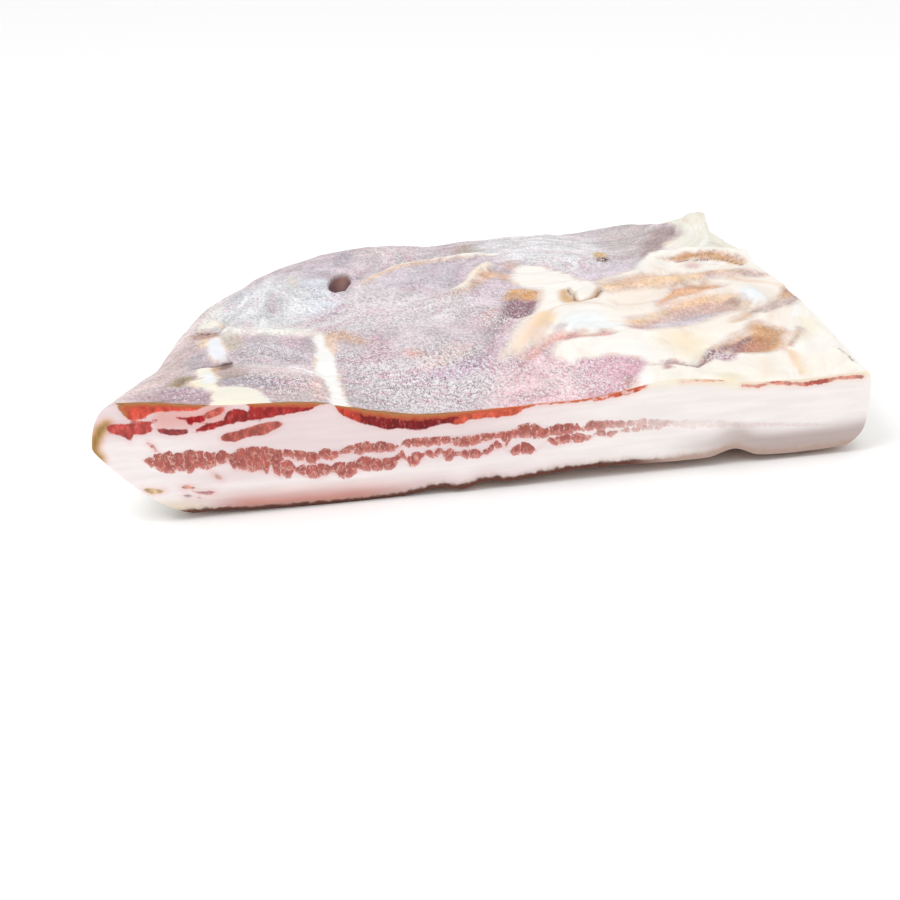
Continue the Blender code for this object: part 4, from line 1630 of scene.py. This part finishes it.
@dataclass(frozen=True)
class CuredTop:
    """The finish of the cured top and natural sides: frosted lean and waxy fat."""

    rim_tone: Tone = (238, 204, 172)
    fat_streak: Tone = (240, 208, 182)
    fat_pale: Tone = (252, 250, 247)
    front_tone: Tone = (158, 122, 72)
    front_right: Tone = (208, 112, 74)
    # Painted shade in the slits.
    slit_shade_tone: Tone = (104, 78, 70)
    # Painted shade down the hook hole, lighter on its far wall.
    hole_shade_tone: Tone = (104, 54, 60)
    hole_far_wall_shade: Tone = (140, 98, 88)
    salt_tone: Tone = (252, 249, 250)
    rose: Tone = (208, 150, 170)
    # How dark the dark specks are: partly painted shade of the lean's crumbs.
    shade: Triple = (0.48, 0.38, 0.44)
    rind_tone: Tone = (160, 126, 100)
    roughness_fat: float = 0.46
    roughness_lean: float = 0.60

    def lean(self, graph: Graph, place: Value, fibre: Value) -> tuple[Socket, Socket]:
        """Colour the frosted lean.

        Args:
            graph: takes the nodes.
            place: in millimetres.
            fibre: the place along and across the fibres.

        Returns:
            Its tone and the height of its salt.
        """
        salt = graph.field("salt")
        crumb = graph.stretched(place, (1.0, 0.6, 1.0))
        strand = graph.group("mottle", {"Place": graph.stretched(fibre, (0.24, 1.0, 1.0)),
                                        "Tone": graph.field("lean_tone", "Color"),
                                        "Length": 2.6, "Strength": 0.16})
        cloud = graph.group("mottle", {"Place": place, "Tone": strand.outputs["Tone"],
                                       "Length": 9.0, "Strength": 0.07})
        rose = graph.step(graph.grain(graph.stretched(fibre, (0.4, 1.0, 1.0)), 3.4, 3.0),
                          0.48, 0.66)
        rose = graph.math("MULTIPLY", rose, salt)
        tone = graph.blend(rose, cloud.outputs["Tone"], linear(self.rose))
        # Fine mottle and dark specks: partly the lean's own speckle, partly painted light and
        # shade of its crumbs.
        fine = graph.group("mottle", {"Place": crumb, "Tone": tone, "Length": 1.2,
                                      "Strength": graph.math("MULTIPLY_ADD", salt, 0.28, 0.10)})
        shade = graph.step(graph.grain(crumb, 1.5, 4.0), 0.51, 0.37)
        shade = graph.math("MULTIPLY", shade, graph.math("MULTIPLY", salt, 0.9))
        dark = graph.node("ShaderNodeVectorMath", {0: cloud.outputs["Tone"], 1: self.shade},
                          operation="MULTIPLY").outputs[0]
        tone = graph.blend(shade, fine.outputs["Tone"], dark)
        flecks = graph.step(graph.grain(crumb, 1.15, 4.0), 0.49, 0.62)
        flecks = graph.math("MULTIPLY", flecks, salt)
        tone = graph.blend(flecks, tone, linear(self.salt_tone))
        frost = graph.group("salt frost", {"Place": crumb, "Size": 0.9,
                                           "Cover": graph.math("MULTIPLY_ADD", salt, 0.65,
                                                               -0.12)})
        tone = graph.blend(graph.math("MULTIPLY", frost.outputs["Specks"], 0.9), tone,
                           linear(self.salt_tone))
        height = graph.math("ADD", graph.math("MULTIPLY", frost.outputs["Specks"], 0.9),
                            graph.math("ADD", flecks, strand.outputs["Noise"]))
        return tone, height

    def material(self) -> bpy.types.Material:
        """Make the finish.

        Returns:
            The material.
        """
        material, graph, shader = new_material("cured_top")
        place = graph.millimetres()
        fibre = graph.field("grain", "Vector")
        frosted, frost_height = self.lean(graph, place, fibre)
        strands = graph.stretched(fibre, (0.16, 1.0, 1.0))
        feather = graph.field("feather")
        wisps = graph.math("MULTIPLY_ADD", graph.grain(strands, 2.8, 3.0), 5.0, -2.5)
        drawn = graph.math("MULTIPLY_ADD", wisps, feather, graph.field("lean"))
        edge = graph.group("ragged edge", {"Place": place, "Distance": drawn, "Reach": 0.7,
                                           "Softness": graph.math("MULTIPLY", feather, 1.5),
                                           "Rim": 2.0})
        mask = edge.outputs["Mask"]
        fat = graph.group("mottle", {"Place": strands, "Tone": graph.field("fat_tone", "Color"),
                                     "Length": 2.6, "Strength": 0.05})
        tan = graph.step(graph.grain(strands, 5.0, 3.0), 0.50, 0.72, 0.0, 0.75)
        waxy = graph.blend(graph.math("MULTIPLY", tan, graph.step(feather, 1.2, 2.4)),
                           fat.outputs["Tone"], linear(self.fat_streak))
        pale = graph.step(graph.grain(graph.stretched(strands, (1.0, 1.7, 1.0)), 4.0, 3.0),
                          0.52, 0.70, 0.0, 0.7)
        waxy = graph.blend(graph.math("MULTIPLY", pale, graph.step(feather, 1.2, 2.0)),
                           waxy, linear(self.fat_pale))
        body = graph.blend(mask, waxy, frosted)
        rim = graph.math("MULTIPLY", edge.outputs["Rim"],
                         graph.step(graph.grain(place, 8.0), 0.42, 0.66, 0.0, 0.5))
        body = graph.blend(rim, body, linear(self.rim_tone))
        near = graph.math("MULTIPLY_ADD", graph.grain(place, 4.0, 3.0), 5.0,
                          graph.field("depth"))
        front = graph.math("MULTIPLY", graph.step(near, 5.4, 2.6), mask)
        right = graph.step(graph.axis(place, 0), -24.0, 4.0)
        rim = graph.blend(right, linear(self.front_tone), linear(self.front_right))
        body = graph.blend(graph.math("MULTIPLY", front, 0.85), body, rim)
        # The slits, darkened with painted shade.
        slit = graph.group("ragged edge", {"Place": place, "Distance": graph.field("slit"),
                                           "Reach": 0.4, "Softness": 0.45, "Rim": 1.5})
        body = graph.blend(graph.math("SUBTRACT", 1.0, slit.outputs["Mask"]), body,
                           linear(self.slit_shade_tone))
        # The hook hole darkens with its depth: painted shade, less on the far wall.
        wall = graph.step(graph.axis(place, 1), 38.0, 47.0)
        hole_wall_shade = graph.blend(wall, linear(self.hole_shade_tone), linear(self.hole_far_wall_shade))
        body = graph.blend(graph.step(graph.field("hole"), 0.0, 2.2, 0.0, 0.92), body,
                           hole_wall_shade)
        rag = graph.math("MULTIPLY", graph.grain(place, 2.4, 3.0), 3.0)
        skin = graph.step(graph.math("ADD", graph.field("foot"), rag), 6.0, 4.2)
        tone = graph.blend(skin, body, linear(self.rind_tone))
        roughness = graph.step(mask, 0.0, 1.0, self.roughness_fat, self.roughness_lean)
        waxy_height = graph.math("MULTIPLY", fat.outputs["Noise"], 0.5)
        height = graph.node("ShaderNodeMix", {"Factor": mask, 2: waxy_height,
                                              3: frost_height}).outputs[0]
        relief = {"Height": height, "Distance": 0.0005, "Strength": 0.7}
        graph.fill(shader, {
            "Base Color": tone, "Roughness": roughness,
            "Normal": graph.node("ShaderNodeBump", relief).outputs[0],
            "Subsurface Weight": 0.05, "Subsurface Radius": (0.003, 0.0015, 0.001),
            "Subsurface Scale": 1.0})
        return material


@dataclass(frozen=True)
class Rind:
    """The finish of the underside: tanned skin with pores and fine creases."""

    tone: Tone = (168, 124, 96)
    dark_tone: Tone = (110, 74, 58)
    roughness: float = 0.52

    def material(self) -> bpy.types.Material:
        """Make the finish.

        Returns:
            The material.
        """
        material, graph, shader = new_material("rind")
        place = graph.millimetres()
        skin = graph.group("mottle", {"Place": place, "Tone": linear(self.tone),
                                      "Length": 14.0, "Strength": 0.22})
        pores = graph.node("ShaderNodeTexVoronoi", {"Vector": place, "Scale": 1.0 / 3.2})
        pit = graph.step(pores.outputs["Distance"], 0.30, 0.10)
        tone = graph.blend(graph.math("MULTIPLY", pit, 0.6), skin.outputs["Tone"],
                           linear(self.dark_tone))
        creases = graph.grain(graph.stretched(place, (0.35, 1.0, 1.0)), 2.0, 5.0, 0.6)
        height = graph.math("SUBTRACT", creases, pit)
        relief = {"Height": height, "Distance": 0.0004, "Strength": 0.7}
        graph.fill(shader, {"Base Color": tone, "Roughness": self.roughness,
                            "Normal": graph.node("ShaderNodeBump", relief).outputs[0]})
        return material


@dataclass
class SaltCrystals:
    """Loose salt on the lean of the top: small broken crystals, half sunk into the meat."""

    count: int = 9000
    smallest: float = 0.16
    largest: float = 0.36
    margin: float = 1.5
    flattest: float = 0.6
    least_lean: float = 0.8
    salt_start: float = 0.3
    seed: int = 11
    tone: Tone = (250, 247, 247)
    roughness: float = 0.35
    name: str = "salt_crystals"

    def build(self, skin: bpy.types.Object) -> bpy.types.Object:
        """Scatter the crystals over the frosted lean.

        Args:
            skin: the slab's skin, with its fields.

        Returns:
            One mesh of all crystals.
        """
        draw = np.random.default_rng(self.seed)
        data = skin.data
        lean, hole, salt = np.empty((3, len(data.vertices)), dtype=np.float32)
        for name, values in (("lean", lean), ("hole", hole), ("salt", salt)):
            data.attributes[name].data.foreach_get("value", values)
        low, high = (np.array(corner) + side * self.margin * MM
                     for corner, side in zip(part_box(NODE), (1.0, -1.0)))
        faces = [face for face in data.polygons
                 if face.material_index == Slot.CURED.value and face.normal.z > self.flattest
                 and min(lean[index] for index in face.vertices) > self.least_lean
                 and max(hole[index] for index in face.vertices) <= 0.0
                 and all(low[axis] < face.center[axis] < high[axis] for axis in (0, 1))]
        shares = np.array([face.area * max(salt[face.vertices[0]] - self.salt_start, 0.0)
                           for face in faces])
        picks = draw.choice(len(faces), size=self.count, p=shares / shares.sum())
        # six corners and eight sides of a crystal
        shape = np.array([[1, 0, 0], [-1, 0, 0], [0, 1, 0], [0, -1, 0], [0, 0, 1],
                          [0, 0, -1]], dtype=float)
        sides = np.array([[0, 2, 4], [2, 1, 4], [1, 3, 4], [3, 0, 4], [2, 0, 5], [1, 2, 5],
                          [3, 1, 5], [0, 3, 5]])
        corners = np.empty((self.count, 6, 3))
        for index, pick in enumerate(picks):
            face = faces[pick]
            weights = draw.dirichlet(np.ones(len(face.vertices)))
            centre = sum((data.vertices[vertex].co * float(weight)
                          for vertex, weight in zip(face.vertices, weights)), Vector())
            size = draw.uniform(self.smallest, self.largest) * MM
            turn = Matrix(np.linalg.qr(draw.normal(size=(3, 3)))[0])
            stretched = shape * size * draw.uniform(0.6, 1.2, size=(1, 3))
            corners[index] = stretched @ np.array(turn) + np.array(centre)
        triangles = (sides[None] + 6 * np.arange(self.count)[:, None, None]).reshape(-1, 3)
        mesh = bpy.data.meshes.new(self.name)
        mesh.from_pydata(corners.reshape(-1, 3).tolist(), [], triangles.tolist())
        mesh.update()
        return placed(self.name, mesh)

    def material(self) -> bpy.types.Material:
        """Make the finish of the crystals: clouded white salt.

        Returns:
            The material.
        """
        material, graph, shader = new_material("salt")
        place = graph.millimetres()
        tone = graph.group("mottle", {"Place": place, "Tone": linear(self.tone),
                                      "Length": 3.0, "Strength": 0.06})
        graph.fill(shader, {"Base Color": tone.outputs["Tone"], "Roughness": self.roughness})
        return material


@dataclass
class Studio:
    """A pale floor, soft light and a camera at the height of someone at the table."""

    camera_place: Triple = (-0.1406, -0.8912, 0.3332)
    azimuth: float = -9.0
    elevation: float = 22.0
    roll: float = -2.34
    lens: float = 85.0
    floor_size: float = 8.0
    floor_tone: Triple = (0.93, 0.93, 0.93)
    sky: float = 0.95
    lamps: tuple[tuple[str, Triple, float, float], ...] = (
        ("key", (-0.7, -0.5, 1.3), 0.7, 7.0), ("fill", (0.9, -1.1, 0.7), 0.9, 2.5))

    def camera(self) -> None:
        """Place the camera."""
        azimuth = math.radians(self.azimuth)
        elevation = math.radians(self.elevation)
        back = Vector((math.sin(azimuth) * math.cos(elevation),
                       -math.cos(azimuth) * math.cos(elevation), math.sin(elevation)))
        right = Vector((math.cos(azimuth), math.sin(azimuth), 0.0))
        turn = Matrix((right, back.cross(right), back)).transposed()
        turn = turn @ Matrix.Rotation(math.radians(self.roll), 3, "Z")
        data = bpy.data.cameras.new("camera")
        data.lens = self.lens
        data.sensor_width = 36.0
        data.sensor_fit = "HORIZONTAL"
        camera = placed("camera", data)
        camera.matrix_world = Matrix.Translation(self.camera_place) @ turn.to_4x4()
        bpy.context.scene.camera = camera

    def lamp(self, name: str, place: Vector, size: float, power: float) -> None:
        """Hang one square soft light, aimed at the slab.

        Args:
            name: its name.
            place: where it hangs, in metres.
            size: its width.
            power: its power in watts.
        """
        data = bpy.data.lights.new(name, "AREA")
        data.shape = "SQUARE"
        data.size = size
        data.energy = power
        light = placed(name, data)
        light.location = place
        light.rotation_euler = (-place).to_track_quat("-Z", "Y").to_euler()

    def lights(self) -> None:
        """Light the slab from all round, with a soft key above on the left."""
        world = bpy.data.worlds.new("studio")
        world.use_nodes = True
        Graph(world.node_tree).fill(world.node_tree.nodes["Background"],
                                    {"Color": (1.0, 1.0, 1.0), "Strength": self.sky})
        bpy.context.scene.world = world
        for name, place, size, power in self.lamps:
            self.lamp(name, Vector(place), size, power)
        bpy.context.scene.view_settings.view_transform = "Standard"

    def floor(self) -> bpy.types.Object:
        """Lay the pale floor.

        Returns:
            The floor.
        """
        mesh = bmesh.new()
        bmesh.ops.create_grid(mesh, x_segments=1, y_segments=1, size=self.floor_size / 2.0)
        data = bpy.data.meshes.new("floor")
        mesh.to_mesh(data)
        mesh.free()
        material, graph, shader = new_material("floor")
        graph.fill(shader, {"Base Color": self.floor_tone, "Roughness": 0.8})
        data.materials.append(material)
        return placed("floor", data)


def report(piece: bpy.types.Object) -> None:
    """Log a finished piece."""
    LOG.info("%s: %d faces", piece.name, len(piece.data.polygons))


def main() -> None:
    """Build the looks of the pancetta."""
    logging.basicConfig(level=logging.INFO, format="%(name)s %(message)s")
    studio = Studio()
    studio.camera()
    studio.lights()
    studio.floor()
    SharedEffects().build()
    form = SlabForm()
    skin = SlabSkin(form, CutFace(form), MeatSide(), Grain()).build()
    for finish in (FreshCut(), CuredTop(), Rind()):
        skin.data.materials.append(finish.material())
    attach(skin, "root")
    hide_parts(NODE)
    report(skin)
    salt = SaltCrystals()
    crystals = salt.build(skin)
    crystals.data.materials.append(salt.material())
    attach(crystals, "root")
    report(crystals)


if __name__ == "__main__":
    main()
